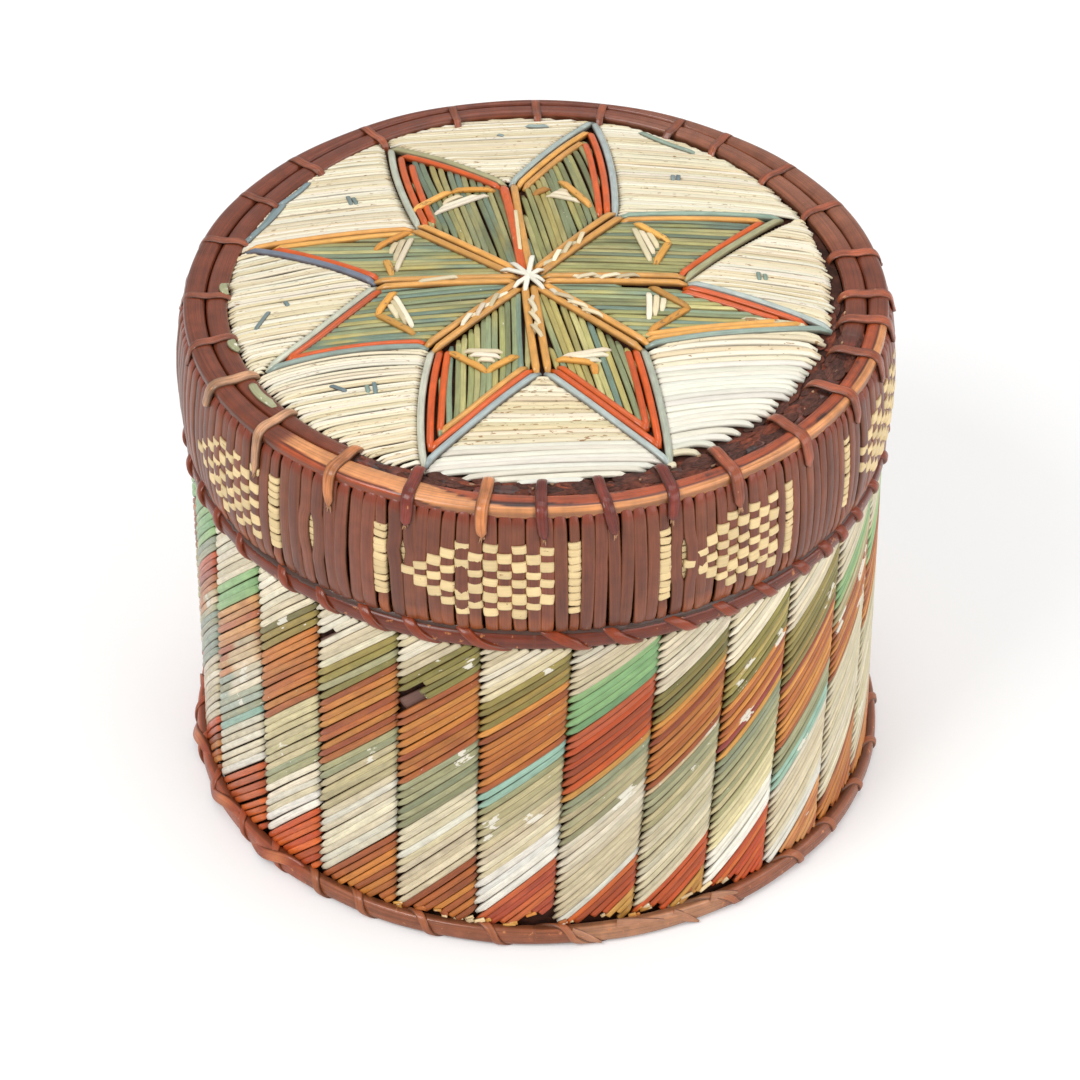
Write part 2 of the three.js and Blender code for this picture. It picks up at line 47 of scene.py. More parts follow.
# Dyed quills: the shades that occur in one band of colour, as sRGB
SHADES = {
    "cream": [(230, 216, 186), (222, 206, 170), (234, 224, 198), (214, 198, 160)],
    "ivory": [(233, 223, 197), (228, 216, 185), (235, 227, 205), (220, 204, 168)],
    "white": [(240, 236, 222), (236, 230, 212)],
    "snow": [(228, 224, 210), (223, 218, 201)],
    "straw": [(212, 198, 148), (220, 208, 162), (198, 184, 134)],
    "pale": [(216, 204, 168), (206, 194, 154), (224, 212, 180)],
    "sage": [(188, 174, 128), (172, 162, 114), (198, 184, 140), (150, 152, 114), (204, 190, 148)],
    "oat": [(206, 192, 148), (192, 180, 134), (214, 200, 158)],
    "herb": [(160, 158, 116), (142, 146, 108), (170, 166, 122), (150, 156, 124)],
    "olive": [(166, 148, 76), (146, 134, 66), (176, 156, 86), (128, 120, 62)],
    "moss": [(132, 122, 62), (146, 126, 60), (114, 112, 64), (158, 130, 62)],
    "green": [(146, 188, 124), (126, 170, 114), (168, 198, 132)],
    "teal": [(164, 196, 174), (150, 186, 166), (174, 204, 184)],
    "slate": [(176, 184, 164), (156, 168, 150), (192, 194, 174), (170, 168, 132)],
    "orange": [(196, 120, 48), (212, 144, 62), (176, 94, 38), (190, 110, 44), (152, 72, 34), (204, 132, 56)],
    "tan": [(208, 146, 86), (194, 118, 66), (218, 160, 98), (176, 98, 60)],
    "rust": [(196, 92, 48), (208, 104, 54), (182, 78, 44), (166, 70, 44)],
    "scarlet": [(200, 78, 22), (182, 68, 18), (212, 96, 28), (160, 70, 26)],
    "red": [(202, 84, 32), (186, 72, 28), (214, 104, 40), (176, 78, 32)],
    "frayed": [(232, 206, 160), (226, 196, 150)],
    "steel": [(118, 138, 140), (134, 150, 148), (126, 146, 132)],
    "wine": [(128, 48, 44), (150, 62, 48)],
    "ochre": [(208, 152, 70), (218, 162, 82), (198, 138, 60)],
    "brown": [(194, 108, 46), (208, 132, 54), (168, 90, 40), (150, 76, 36)],
}
LIGHTEST = 250


def unit(vectors):
    return vectors / np.linalg.norm(vectors, axis=-1, keepdims=True)


def ease(share):
    share = np.clip(share, 0, 1)
    return share * share * (3 - 2 * share)


def within(value, begin, end, fade_in, fade_out):
    """1 between two values, and 0 beyond a soft edge at each."""
    return ease((value - begin) / fade_in) * ease((end - value) / fade_out)


def around(front, radius, z):
    """Points at angles, radii and heights round the box."""
    turn = np.radians(front)
    return np.stack(np.broadcast_arrays(radius * np.sin(turn), -radius * np.cos(turn), z), -1)


def outwards(front, rise=0.0):
    return around(front, 1.0, rise)


def facing(front):
    """The same angles between -180 and 180."""
    return (np.asarray(front) + 180) % 360 - 180


def closed_up(angles, more):
    """Angles round the box: the ones that show, then evenly spaced ones as far as the first again."""
    return np.r_[angles, np.linspace(angles[-1], angles[0] + 360, more + 1)[1:]]


def heading(degrees):
    return np.array([np.cos(np.radians(degrees)), np.sin(np.radians(degrees))])


def linear(colour):
    share = np.asarray(colour, float) / 255
    return np.where(share <= 0.04045, share / 12.92, ((share + 0.055) / 1.055) ** 2.4)


def shade_of(dye, rng, spread=0.09):
    """One quill's colour: a shade of its dye, a little lighter or darker."""
    shades = SHADES[dye]
    colour = np.array(shades[rng.integers(len(shades))], float)
    return np.clip(colour * (1 + spread * rng.uniform(-1, 1)) + rng.uniform(-2, 2, 3), 8, LIGHTEST)


def wave(rng, turns, front):
    """A smooth wander round a hoop, between about -1 and 1."""
    phases = rng.uniform(0, 2 * np.pi, len(turns))
    return sum(np.sin(np.radians(front) * n + p) for n, p in zip(turns, phases)) / len(turns)


def drift(rng, along, up):
    """A slow change of shade, between 0 and 1, as a function of the way along and of the height."""
    waves = [
        (rng.uniform(-along, along), rng.uniform(-up, up), rng.uniform(0, 2 * np.pi)) for _ in range(4)
    ]
    return lambda share, z: 0.5 + 0.5 * np.sin(1.6 * sum(np.sin(a * share + b * z + c) for a, b, c in waves))


def rounded(points, flat_below=1.0, square=1.0):
    """Outline of a strand's cross-section, from its right side over its top."""
    turn = np.linspace(0, 2 * np.pi, points, endpoint=False)
    across, rise = (np.sign(way) * np.abs(way) ** square for way in (np.cos(turn), np.sin(turn)))
    return np.stack([across, np.maximum(rise, -flat_below)], 1)


QUILL = rounded(12, flat_below=0.5, square=0.66)
ROOT = rounded(12, square=0.6)
STRIP = rounded(16, square=0.75)
TUBE = rounded(12, square=0.9)
CELL = rounded(12, square=0.42)
HOOP = rounded(40, square=0.7)
STRIP_SIDES = np.abs(STRIP[:, 0]) ** 4


def quads(here, there):
    """Faces between each ring of corners and the next."""
    return np.stack([here, there, np.roll(there, -1, 1), np.roll(here, -1, 1)], -1).reshape(-1, 4)


class Sheaf:
    """Strands gathered into one mesh. Each corner keeps its strand's colour and wear, and its place on it."""

    def __init__(self, seed):
        self.rng = np.random.default_rng(seed)
        self.points, self.faces, self.tints, self.places = [], [], [], []
        self.corners = 0

    def strand(self, path, outward, width, height, colour, wear=0.0, section=QUILL, closed=False):
        path = np.asarray(path, float)
        stations, sides = len(path), len(section)
        ahead = np.roll(path, -1, 0) - np.roll(path, 1, 0) if closed else np.gradient(path, axis=0)
        ahead = unit(ahead)
        across = unit(np.cross(ahead, np.broadcast_to(outward, path.shape)))
        up = np.cross(across, ahead)
        half_width, half_height = (
            np.broadcast_to(np.asarray(size, float) / 2, stations)[:, None, None] for size in (width, height)
        )
        rings = path[:, None] + across[:, None] * half_width * section[:, :1]
        rings = rings + up[:, None] * half_height * section[:, 1:]
        index = self.corners + np.arange(stations * sides).reshape(stations, sides)
        if closed:
            self.faces += quads(index, np.roll(index, -1, 0)).tolist()
        else:
            self.faces += quads(index[:-1], index[1:]).tolist()
            self.faces += [index[0].tolist(), index[-1][::-1].tolist()]
        self.points.append(rings.reshape(-1, 3))
        self.corners += stations * sides
        tint = np.empty((stations, sides, 4))
        shades = np.asarray(colour, float)
        tint[..., :3] = linear(shades[:, None] if shades.ndim == 2 else shades)
        tint[..., 3] = np.broadcast_to(wear, stations)[:, None]
        self.tints.append(tint.reshape(-1, 4))
        place = np.empty((stations, sides, 3))
        place[..., 0] = np.r_[0, np.cumsum(np.linalg.norm(np.diff(path, axis=0), axis=1))][:, None]
        place[..., 1] = section[:, 0]
        place[..., 2] = self.rng.uniform(0, 100)
        self.places.append(place.reshape(-1, 3))

    def piece(self, name, finish, body, slot, *nodes):
        """Makes the mesh, on a body, in the place of CAD nodes."""
        mesh = bpy.data.meshes.new(name)
        mesh.from_pydata((np.concatenate(self.points) * MM).tolist(), [], self.faces)
        mesh.shade_smooth()
        tint = mesh.attributes.new("Tint", "FLOAT_COLOR", "POINT")
        tint.data.foreach_set("color", np.concatenate(self.tints).ravel())
        place = mesh.attributes.new("Place", "FLOAT_VECTOR", "POINT")
        place.data.foreach_set("vector", np.concatenate(self.places).ravel())
        settle(name, mesh, finish, body, slot, *nodes)


def settle(name, mesh, finish, body, slot, *nodes):
    mesh.materials.append(finish)
    made = bpy.data.objects.new(name, mesh)
    bpy.context.scene.collection.objects.link(made)
    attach(made, body)
    if nodes:
        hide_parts(*nodes)


def turned(name, profile, finish, body, slot, node, segments=144):
    """A round sheet of bark: a closed profile of radii and heights turned about the axis."""
    front = np.arange(segments) * 360 / segments
    rings = np.stack([around(front, radius, z) for radius, z in profile], 1)
    index = np.arange(segments * len(profile)).reshape(segments, len(profile))
    mesh = bpy.data.meshes.new(name)
    faces = quads(index, np.roll(index, -1, 0))[:, ::-1]
    mesh.from_pydata((rings.reshape(-1, 3) * MM).tolist(), [], faces.tolist())
    mesh.validate()
    mesh.shade_smooth()
    mesh.set_sharp_from_angle(angle=np.radians(40))
    settle(name, mesh, finish, body, slot, node)


# Finishes


def add(tree, kind, inputs=None, **settings):
    made = tree.nodes.new(kind)
    for key, value in settings.items():
        setattr(made, key, value)
    for key, value in (inputs or {}).items():
        if isinstance(value, bpy.types.NodeSocket):
            tree.links.new(value, made.inputs[key])
        else:
            made.inputs[key].default_value = value
    return made


def scaled(tree, vector, by):
    return add(tree, "ShaderNodeVectorMath", {0: vector, 1: by}, operation="MULTIPLY").outputs[0]


def noise(tree, vector, detail=3.0, roughness=0.55):
    inputs = {"Vector": vector, "Scale": 1.0, "Detail": detail, "Roughness": roughness}
    return add(tree, "ShaderNodeTexNoise", inputs).outputs["Fac"]


def between(tree, value, low, high, to_low, to_high):
    inputs = {"Value": value, "From Min": low, "From Max": high, "To Min": to_low, "To Max": to_high}
    return add(tree, "ShaderNodeMapRange", inputs).outputs[0]


def times(tree, one, other):
    return add(tree, "ShaderNodeMath", {0: one, 1: other}, operation="MULTIPLY").outputs[0]


def mixed(tree, share, one, other, how="MIX"):
    inputs = {0: share, 6: one, 7: other}
    return add(tree, "ShaderNodeMix", inputs, data_type="RGBA", blend_type=how).outputs[2]


def colour_of(red, green, blue):
    return (*linear((red, green, blue)), 1.0)


def new_finish(name):
    finish = bpy.data.materials.new(name)
    finish.use_nodes = True
    return finish, finish.node_tree, finish.node_tree.nodes["Principled BSDF"]


def set_inputs(surface, **values):
    for name, value in values.items():
        surface.inputs[name.replace("_", " ")].default_value = value


def raise_surface(tree, surface, height, strength, distance):
    raised = add(tree, "ShaderNodeBump", {"Strength": strength, "Distance": distance, "Height": height})
    tree.links.new(raised.outputs[0], surface.inputs["Normal"])


def strand_finish(name, grain, streak, blotch, groove_shade, groove_shade_from, roughness, bump, flake, coat=0.0):
    """Quill or root: its own tint, streaked along its length, darkened down its sides by painted shade, and
    flaked where worn.
    """
    finish, tree, surface = new_finish(name)
    tint = add(tree, "ShaderNodeAttribute", attribute_name="Tint")
    place = add(tree, "ShaderNodeAttribute", attribute_name="Place").outputs["Vector"]
    fibres = noise(tree, scaled(tree, place, grain))
    patches = noise(tree, scaled(tree, place, (0.3, 0.5, 31.0)), detail=2.0)
    across = add(tree, "ShaderNodeSeparateXYZ", {0: place}).outputs[1]
    side = add(tree, "ShaderNodeMath", {0: across}, operation="ABSOLUTE").outputs[0]
    tone = times(
        tree,
        between(tree, fibres, 0.3, 0.7, 1 - streak, 1 + streak * 0.6),
        between(tree, patches, 0.3, 0.7, 1 - blotch, 1 + blotch * 0.6),
    )
    colour = mixed(tree, 1.0, tint.outputs["Color"], tone, "MULTIPLY")
    worn = noise(tree, scaled(tree, place, (0.5, 1.1, 23.0)), detail=4.0)
    reach = between(tree, tint.outputs["Alpha"], 0.0, 1.0, 0.78, 0.3)
    edge = add(tree, "ShaderNodeMath", {0: worn, 1: reach}, operation="SUBTRACT").outputs[0]
    colour = mixed(tree, between(tree, edge, 0.0, 0.04, 0.0, 0.9), colour, flake)
    # Painted shade of the grooves between strands: each strand darkens towards its sides
    colour = mixed(tree, between(tree, side, groove_shade_from, 1.0, 0.0, groove_shade), colour, GROOVE_SHADE)
    tree.links.new(colour, surface.inputs["Base Color"])
    rough = between(tree, fibres, 0.3, 0.7, roughness + 0.12, roughness - 0.08)
    tree.links.new(rough, surface.inputs["Roughness"])
    set_inputs(surface, Specular_IOR_Level=0.35, Coat_Weight=coat, Coat_Roughness=0.13)
    raise_surface(tree, surface, fibres, bump, 0.0003)
    return finish


def bark_finish(name, dark, light, grain, roughness):
    """Sheet bark: mottled, with fine lines along the sheet's own grain."""
    finish, tree, surface = new_finish(name)
    spot = add(tree, "ShaderNodeTexCoord").outputs["Object"]
    lines = noise(tree, scaled(tree, spot, grain), detail=5.0, roughness=0.65)
    mottle = noise(tree, scaled(tree, spot, (60.0, 60.0, 60.0)), detail=4.0)
    share = times(tree, between(tree, lines, 0.35, 0.7, 0.0, 1.0), between(tree, mottle, 0.3, 0.7, 0.35, 1.0))
    colour = mixed(tree, share, colour_of(*dark), colour_of(*light))
    tree.links.new(colour, surface.inputs["Base Color"])
    rough = between(tree, lines, 0.3, 0.7, roughness + 0.1, roughness - 0.1)
    tree.links.new(rough, surface.inputs["Roughness"])
    set_inputs(surface, Specular_IOR_Level=0.3)
    raise_surface(tree, surface, lines, 0.5, 0.0006)
    return finish


# Colour of the painted shade in the grooves between strands
GROOVE_SHADE = colour_of(82, 50, 32)
PITH = colour_of(236, 230, 212)
SCUFFED_ROOT = colour_of(206, 140, 92)
QUILL_GRAIN = (0.16, 3.0, 17.0)
ROOT_GRAIN = (0.07, 5.0, 17.0)
HOOP_GRAIN = (0.05, 8.0, 17.0)
LASHING_GRAIN = (0.12, 4.0, 17.0)
CRUMB_GRAIN = (0.9, 2.0, 17.0)
quill_finish = strand_finish("dyed_quill", QUILL_GRAIN, 0.2, 0.14, 0.64, 0.76, 0.4, 0.3, PITH, 0.35)
line_finish = strand_finish(
    "glossy_quill", QUILL_GRAIN, 0.18, 0.16, 0.7, 0.76, 0.32, 0.25, colour_of(196, 150, 92), 0.55
)
cream_finish = strand_finish(
    "undyed_quill", QUILL_GRAIN, 0.09, 0.05, 0.32, 0.74, 0.45, 0.25, colour_of(150, 112, 66), 0.1
)
root_finish = strand_finish("split_root", ROOT_GRAIN, 0.22, 0.16, 0.85, 0.8, 0.36, 0.4, SCUFFED_ROOT, 0.3)
wood_finish = strand_finish(
    "hoop_root", HOOP_GRAIN, 0.34, 0.22, 0.6, 0.95, 0.3, 0.6, colour_of(206, 132, 84), 0.4
)
gloss_finish = strand_finish(
    "polished_root", ROOT_GRAIN, 0.3, 0.24, 0.7, 0.92, 0.3, 0.35, colour_of(186, 116, 66), 0.4
)
lashing_finish = strand_finish(
    "lashing_root", LASHING_GRAIN, 0.42, 0.25, 0.7, 0.86, 0.34, 0.8, SCUFFED_ROOT, 0.45
)
crumbled_finish = strand_finish(
    "crumbled_bark", CRUMB_GRAIN, 0.5, 0.4, 0.5, 0.9, 0.7, 1.0, colour_of(172, 140, 116)
)
dark_bark = bark_finish("dark_bark", (50, 28, 20), (104, 58, 42), (300.0, 300.0, 900.0), 0.75)
pale_bark = bark_finish("pale_bark", (120, 78, 48), (196, 150, 100), (40.0, 40.0, 700.0), 0.7)


# Bark shells

DOME_EDGE = 119
DOME_RISE = 5.5
DOME_RADIUS = 70
TOP_RADIUS = 66.4
AXIS = 0.01


def dome(radius):
    return DOME_EDGE + DOME_RISE * (1 - (radius / DOME_RADIUS) ** 2)


dome_radii = np.linspace(AXIS, TOP_RADIUS, 24)


def domed(below, reach=np.inf):
    """A profile along the dome, from the axis outwards."""
    return [(r, dome(r) - below) for r in dome_radii if r < reach]


WALL = [(72.6, 0.0), (74.2, 0.0), (74.2, 83.0), (72.6, 83.0)]
LINER = [(70.9, 2.8), (72.3, 2.8), (72.3, 111.9), (71.9, 112.4), (71.3, 112.4), (70.9, 111.9)]
BASE = [(AXIS, 0.0), (72.3, 0.0), (72.3, 2.5), (AXIS, 2.5)]
BAND = [(72.8, 88.0), (73.8, 88.0), (73.8, 116.0), (72.8, 116.0)]
TOP_LEDGE = [(64.6, 114.6), (73.6, 114.6), (73.6, 116.1), (67.0, 116.3), (TOP_RADIUS, 118.0)]
LINING_LEDGE = [(63.0, 113.0), (72.4, 113.0), (72.4, 114.1), (63.6, 114.2)]
TOP = domed(3.2, 64.6) + TOP_LEDGE + domed(1.5)[::-1]
LINING = domed(4.6, 63.0) + LINING_LEDGE + domed(3.5, 63.0)[::-1]
turned("wall_bark", WALL, dark_bark, "box", "bark_dark", "box_wall")
turned("liner_bark", LINER, pale_bark, "box", "bark_pale", "box_liner")
turned("base_bark", BASE, pale_bark, "box", "bark_pale", "box_base_disc")
turned("band_bark", BAND, dark_bark, "lid", "bark_dark", "lid_band")
turned("top_bark", TOP, dark_bark, "lid", "bark_dark", "lid_top_bark")
turned("lining_bark", LINING, pale_bark, "lid", "bark_pale", "lid_lining")


# Quill columns on the wall

WALL_TOP = 83.2
FOOT_HOOP_TOP = 4.9
QUILL_RADIUS = 75.55
QUILL_WIDTH = 1.5
WIDE_QUILLS = {"white": 1.12, "green": 1.2, "teal": 1.1, "red": 1.05, "scarlet": 1.05, "frayed": 0.7}
DARK_DYES = ("olive", "moss", "orange", "rust", "red", "scarlet", "brown", "tan", "ochre")
# Dyes that have flaked off here and there, and how much
WORN_DYES = {
    "sage": 0.16, "oat": 0.16, "herb": 0.14, "olive": 0.18, "moss": 0.16, "orange": 0.12, "tan": 0.2,
    "slate": 0.2, "frayed": 0.3,
}
# Edges of the columns that show, from the left of the first, at the top and at the foot of the wall
EDGES_TOP = [-79.5, -66.0, -51.6, -37.6, -22.4, -8.7, 5.8, 20.2, 33.0, 45.8, 59.7, 74.0]
EDGES_FOOT = [-85.0, -70.0, -52.3, -38.8, -23.7, -9.9, 3.0, 16.4, 29.1, 41.8, 56.0, 69.3]
EDGE_FOOT_HEIGHT = 8
EDGE_REACH = 72
COLUMNS = 26
FIRST_LISTED_COLUMN = 22
# How far a quill rises across its column at the foot and at the top of the wall, and the heights for those
RISES = {
    22: (23.0, 19.3), 23: (23.6, 19.1), 24: (19.2, 18.5), 25: (22.3, 18.6), 26: (20.5, 15.7), 1: (19.3, 15.0),
    2: (20.2, 13.8), 3: (18.2, 14.4), 4: (17.7, 16.2), 5: (18.4, 16.0), 6: (18.2, 15.6), 7: (18.2, 15.6),
}
USUAL_RISE = (18.5, 15.5)
RISE_HEIGHTS = (7, 76)
# Bands down the left edge of a column: each dye, and the height where it ends
BANDS = {
    22: "green 57.3, slate 52.3, rust 44.8, tan 36.4, slate 19.5, cream -0.5, red -4.5, brown -30",
    23: "cream 61.3, green 54.3, olive 53.3, tan 34.3, slate 20.3, teal 18.3, ivory 5.3, white 2.9, red -30",
    24: "ivory 63.9, moss 57.1, orange 37.6, oat 24.0, herb 19.1, ivory 9.4, white 5.0, red -30",
    25: "ivory 62.6, olive 58.6, herb 57.2, olive 54.3, orange 36.8, herb 33.2, sage 22.4, ivory 3.8, "
    "brown -30",
    26: "cream 69.4, olive 58.9, orange 39.7, herb 25.5, pale 18.7, white 17.0, cream 4.7, brown -30",
    1: "cream 67.5, olive 64.8, moss 58.3, orange 41.2, teal 37.2, sage 24.2, cream 15.2, white 6.9, "
    "rust -30",
    2: "cream 69.2, green 58.4, rust 53.8, scarlet 40.7, ochre 39.2, herb 34.5, sage 25.7, cream 5.5, "
    "white 3.4, ochre 1.9, red -7.1, ochre -30",
    3: "cream 66.6, moss 58.3, orange 39.6, frayed 38.1, sage 26.6, pale 7.0, red -2.7, ochre -30",
    4: "cream 67.5, olive 55.2, orange 44.9, wine 43.1, ochre 40.6, herb 32.4, sage 24.4, straw 15.9, "
    "white 7.0, red -30",
    5: "cream 66.9, olive 62.0, moss 54.0, orange 36.0, herb 30.1, teal 24.8, cream 7.4, white 3.7, tan -30",
    6: "cream 69.0, green 63.1, sage 57.3, orange 43.4, pale 24.1, cream 9.2, orange -30",
    7: "cream 69.2, green 61.2, orange 44.3, pale 17.4, cream 7.4, orange -30",
}
USUAL_BANDS = "cream 68.6, olive 59.1, orange 41.1, sage 27.1, cream 7.1, rust -30"
# Stretches of quill that are lost: heights on the left edge, then the lost share of the way across
LOST = {26: [(60.5, 65.4, 0.0, 0.34), (69.0, 70.3, 0.66, 1.0)], 25: [(71.5, 72.9, 0.0, 0.3)]}
# Stretches whose dye has worn off, in the same terms
WORN = {
    22: [(37.5, 39.5, 0.6, 0.8)],
    23: [(31.4, 34.4, 0.6, 0.8), (23.8, 26.8, 0.5, 0.7)],
    24: [(60.3, 62.9, 0.42, 0.62), (26.1, 28.6, 0.3, 0.5)],
    25: [(31.2, 33.2, 0.6, 0.75)],
    26: [
        (35.5, 38.0, 0.74, 0.95), (60.6, 62.6, 0.3, 0.42), (65.8, 67.8, 0.5, 0.62),
        (62.4, 63.9, 0.82, 0.95),
    ],
    1: [(27.6, 30.6, 0.1, 0.3), (22.9, 25.9, 0.6, 0.75), (65.0, 66.0, 0.7, 0.85)],
    2: [(24.8, 27.9, 0.62, 0.85), (37.9, 40.0, 0.84, 0.97)],
    3: [(35.9, 37.9, 0.75, 0.95), (32.1, 33.6, 0.6, 0.8)],
    4: [(60.8, 62.3, 0.2, 0.42), (57.2, 58.8, 0.15, 0.35), (55.3, 57.2, 0.72, 0.92), (45.4, 46.9, 0.3, 0.5)],
    5: [(55.9, 57.7, 0.7, 0.95), (25.3, 26.3, 0.3, 0.6)],
    6: [(54.3, 56.3, 0.05, 0.3), (53.6, 55.0, 0.55, 0.9), (43.5, 45.5, 0.6, 0.95)],
}
# Stretches whose dye has faded to cream, in the same terms
FADED = {23: [(26.9, 42.4, 0.36, 1.05)], 22: [(33.3, 41.2, 0.5, 1.0)]}
# Columns lighter or darker than the others: partly their own tone, partly painted light and shade
COLUMN_TONES_AND_LIGHT = {24: 1.03, 26: 0.99, 2: 0.94, 3: 0.975, 4: 1.05, 5: 1.03}
# Torn places along the foot, where the quills end higher: from, to, and how much higher
FOOT_TEARS = [(-3.5, 2.6, 3.4), (8.0, 13.5, 1.3), (17.0, 20.5, 1.8), (25.0, 34.0, 2.2), (-21.0, -15.0, 0.9)]
BARE_BARK = (108, 72, 60)
BARE_BARK_RADIUS = 75.2


def listed_bands(text):
    return [(dye, float(end)) for dye, end in (band.split() for band in text.split(","))]


def foot_line(front):
    """How low the quills reach on the wall."""
    return FOOT_HOOP_TOP + sum(lift for begin, end, lift in FOOT_TEARS if begin < front < end)


def patch(share, begin, end, rng, jitter, fade_in, fade_out, least):
    """A patch along a quill, which begins, ends and shows a little differently on each."""
    begin, end = np.array((begin, end)) + rng.uniform(-jitter, jitter, 2)
    return within(share, begin, end, fade_in, fade_out) * rng.uniform(least, 0.95)


def quill_column(number, left, right, bands, rises, sag):
    """Slanting quills, which taper at a column's toothed left edge and tuck in at its right edge."""
    sheaf = Sheaf(100 + number)
    rng = sheaf.rng
    span = np.linspace(0, 1, 41)
    mottled = drift(rng, 5, 0.5)
    worn_spots = WORN.get(number) or [
        (z, z + rng.uniform(1.5, 3), a, a + rng.uniform(0.1, 0.25))
        for z, a in rng.uniform((15, 0), (65, 0.8), (4, 2))
    ]
    lost_spots = LOST.get(number, [])
    start = WALL_TOP - 0.6
    while start > FOOT_HOOP_TOP - max(rises):
        dye = next(dye for dye, end in bands if start > end)
        width = QUILL_WIDTH * WIDE_QUILLS.get(dye, 1.0) * rng.uniform(0.92, 1.08)
        rise = np.interp(start, RISE_HEIGHTS, rises) + rng.uniform(-0.16, 0.16)
        slope = np.arctan2(rise, np.radians(right[0] - left[0]) * QUILL_RADIUS)
        hang = sag * (1 + 2 * ease((start - 60) / 14)) + rng.uniform(-0.005, 0.005)
        z = start + rise * (span - hang * np.sin(np.pi * span))
        lowest = np.interp(FOOT_HOOP_TOP, z, span)
        low = foot_line(left[1] + (right[1] - left[1]) * lowest) + rng.uniform(0, 1) ** 4 * 1.4
        first, last = max(0, np.interp(low, z, span)), min(1, np.interp(WALL_TOP, z, span))
        for low_end, high_end, a, b in lost_spots:
            if low_end < start < high_end:
                torn = rng.uniform(-0.04, 0.04)
                first, last = (b + torn, last) if a == 0 else (first, a + torn)
        if last - first > 0.05:
            share = np.linspace(first, last, 21)
            height = np.interp(share, span, z)
            lean = (height - EDGE_FOOT_HEIGHT) / EDGE_REACH
            left_at, right_at = (foot + (top - foot) * lean for top, foot in (left, right))
            tooth = np.degrees(rng.uniform(-0.55, 0.1) / QUILL_RADIUS)
            gap = np.degrees(0.2 / QUILL_RADIUS)
            front = left_at + tooth + (right_at - left_at - tooth - gap) * share
            taper_in, taper_out = ease(share / 0.1), ease((1 - share) / 0.08)
            radius = QUILL_RADIUS + 0.25 * np.sin(np.pi * share)
            radius = radius - 0.3 * (1 - taper_in) - 0.8 * (1 - taper_out)
            radius = radius + rng.uniform(-0.08, 0.1)
            thick = width * (0.5 + 0.5 * taper_in) * (0.8 + 0.2 * taper_out)
            # Each column's factor, partly painted light and shade, scales both shades of its quills
            one, other = (COLUMN_TONES_AND_LIGHT.get(number, 1.0) * shade_of(dye, rng, 0.07) for _ in range(2))
            mix = rng.uniform(0, 0.7) + 0.3 * mottled(share, height + rng.uniform(-2, 2))
            lit = 0.7 + 0.3 * np.minimum(ease((share + 0.06) / 0.1), ease((1.02 - share) / 0.08))
            colours = (one + (other - one) * mix[:, None]) * lit[:, None]
            for low_end, high_end, a, b in FADED.get(number, []):
                if low_end < start < high_end:
                    pale = patch(share, a, b, rng, 0.1, 0.15, 0.1, 0.55)
                    colours += (shade_of("cream", rng) - colours) * pale[:, None]
            wear = np.full(len(share), WORN_DYES.get(dye, 0.05))
            for low_end, high_end, a, b in worn_spots:
                if low_end - 1 < start < high_end + 1:
                    wear = np.maximum(wear, patch(share, a, b, rng, 0.06, 0.07, 0.07, 0.6))
            wide = thick * (0.98 if dye in DARK_DYES else 1.03)
            tall = np.minimum(thick, 1.35) * 0.85
            sheaf.strand(around(front, radius, height), outwards(front), wide, tall, colours, wear)
        start -= width / np.cos(slope)
    for low_end, high_end, a, b in lost_spots:
        share = np.linspace(a + 0.03, b + 0.02, 9)
        front = left[0] + (right[0] - left[0]) * share
        bare = around(front, BARE_BARK_RADIUS, (low_end + high_end) / 2 - 0.4 + rises[1] * share)
        sheaf.strand(bare, outwards(front), (high_end - low_end) * 0.62, 0.5, BARE_BARK, 0.15, ROOT)
    sheaf.piece(
        f"quills_column_{number:02d}", quill_finish, "box", "quill_banded", f"quill_column_{number:02d}"
    )


unseen_columns = COLUMNS - len(EDGES_TOP) + 1
column_edges = np.stack([closed_up(edges, unseen_columns) for edges in (EDGES_TOP, EDGES_FOOT)], 1)
band_rng = np.random.default_rng(5)
for place in range(COLUMNS):
    number = (place + FIRST_LISTED_COLUMN - 1) % COLUMNS + 1
    bands = listed_bands(BANDS.get(number, USUAL_BANDS))
    if number not in BANDS:
        dyed = {
            "olive": band_rng.choice(["olive", "green", "moss"]),
            "orange": band_rng.choice(["orange", "rust", "brown"]),
        }
        shifts = band_rng.uniform(-1.5, 1.5, len(bands))
        bands = [(dyed.get(dye, dye), end + shift) for (dye, end), shift in zip(bands, shifts)]
    left, right = column_edges[place : place + 2]
    to_right = ease((facing(left[0]) + 25) / 50) if abs(facing(left[0])) < 90 else 0.5
    quill_column(number, left, right, bands, RISES.get(number, USUAL_RISE), 0.023 * to_right - 0.012)


# Hoops of the foot and of the lid's lower edge, each wound with a root

ROUND = facing(np.arange(720) * 360 / 720)


def hoop(sheaf, radius, z, outward, width, height, colour, wear):
    sheaf.strand(around(ROUND, radius, z), outward, width, height, colour, wear, HOOP, closed=True)


def winding(sheaf, radius, z, half_radial, half_rise, crossings, usual, width, thickness, colour, steep):
    """Root wound round a hoop, more or less steep where it crosses the outside, joined up where it began.

    It is given the angles of the crossings that show and the usual step between the others.
    """
    crossings = closed_up(crossings, round((crossings[0] + 360 - crossings[-1]) / usual))
    loops, steps = len(crossings) - 1, 28
    loop = np.arange(loops * steps) / steps
    upright = np.interp(facing(np.interp(loop, np.arange(loops + 1), crossings)), *steep)
    moved = loop - upright * np.sin(2 * np.pi * loop) / (2 * np.pi)
    front = np.interp(moved, np.arange(loops + 1), crossings)
    turn = -2 * np.pi * loop
    uneven = wave(sheaf.rng, (3, 5, 8, 13), front * 3)
    path = around(front, radius + half_radial * np.cos(turn), z + half_rise * np.sin(turn))
    outward = unit(around(front, np.cos(turn) / half_radial, np.sin(turn) / half_rise))
    width = width * (1 + 0.15 * uneven)
    sheaf.strand(path, outward, width, thickness, colour(facing(front)), 0.1, ROOT, closed=True)


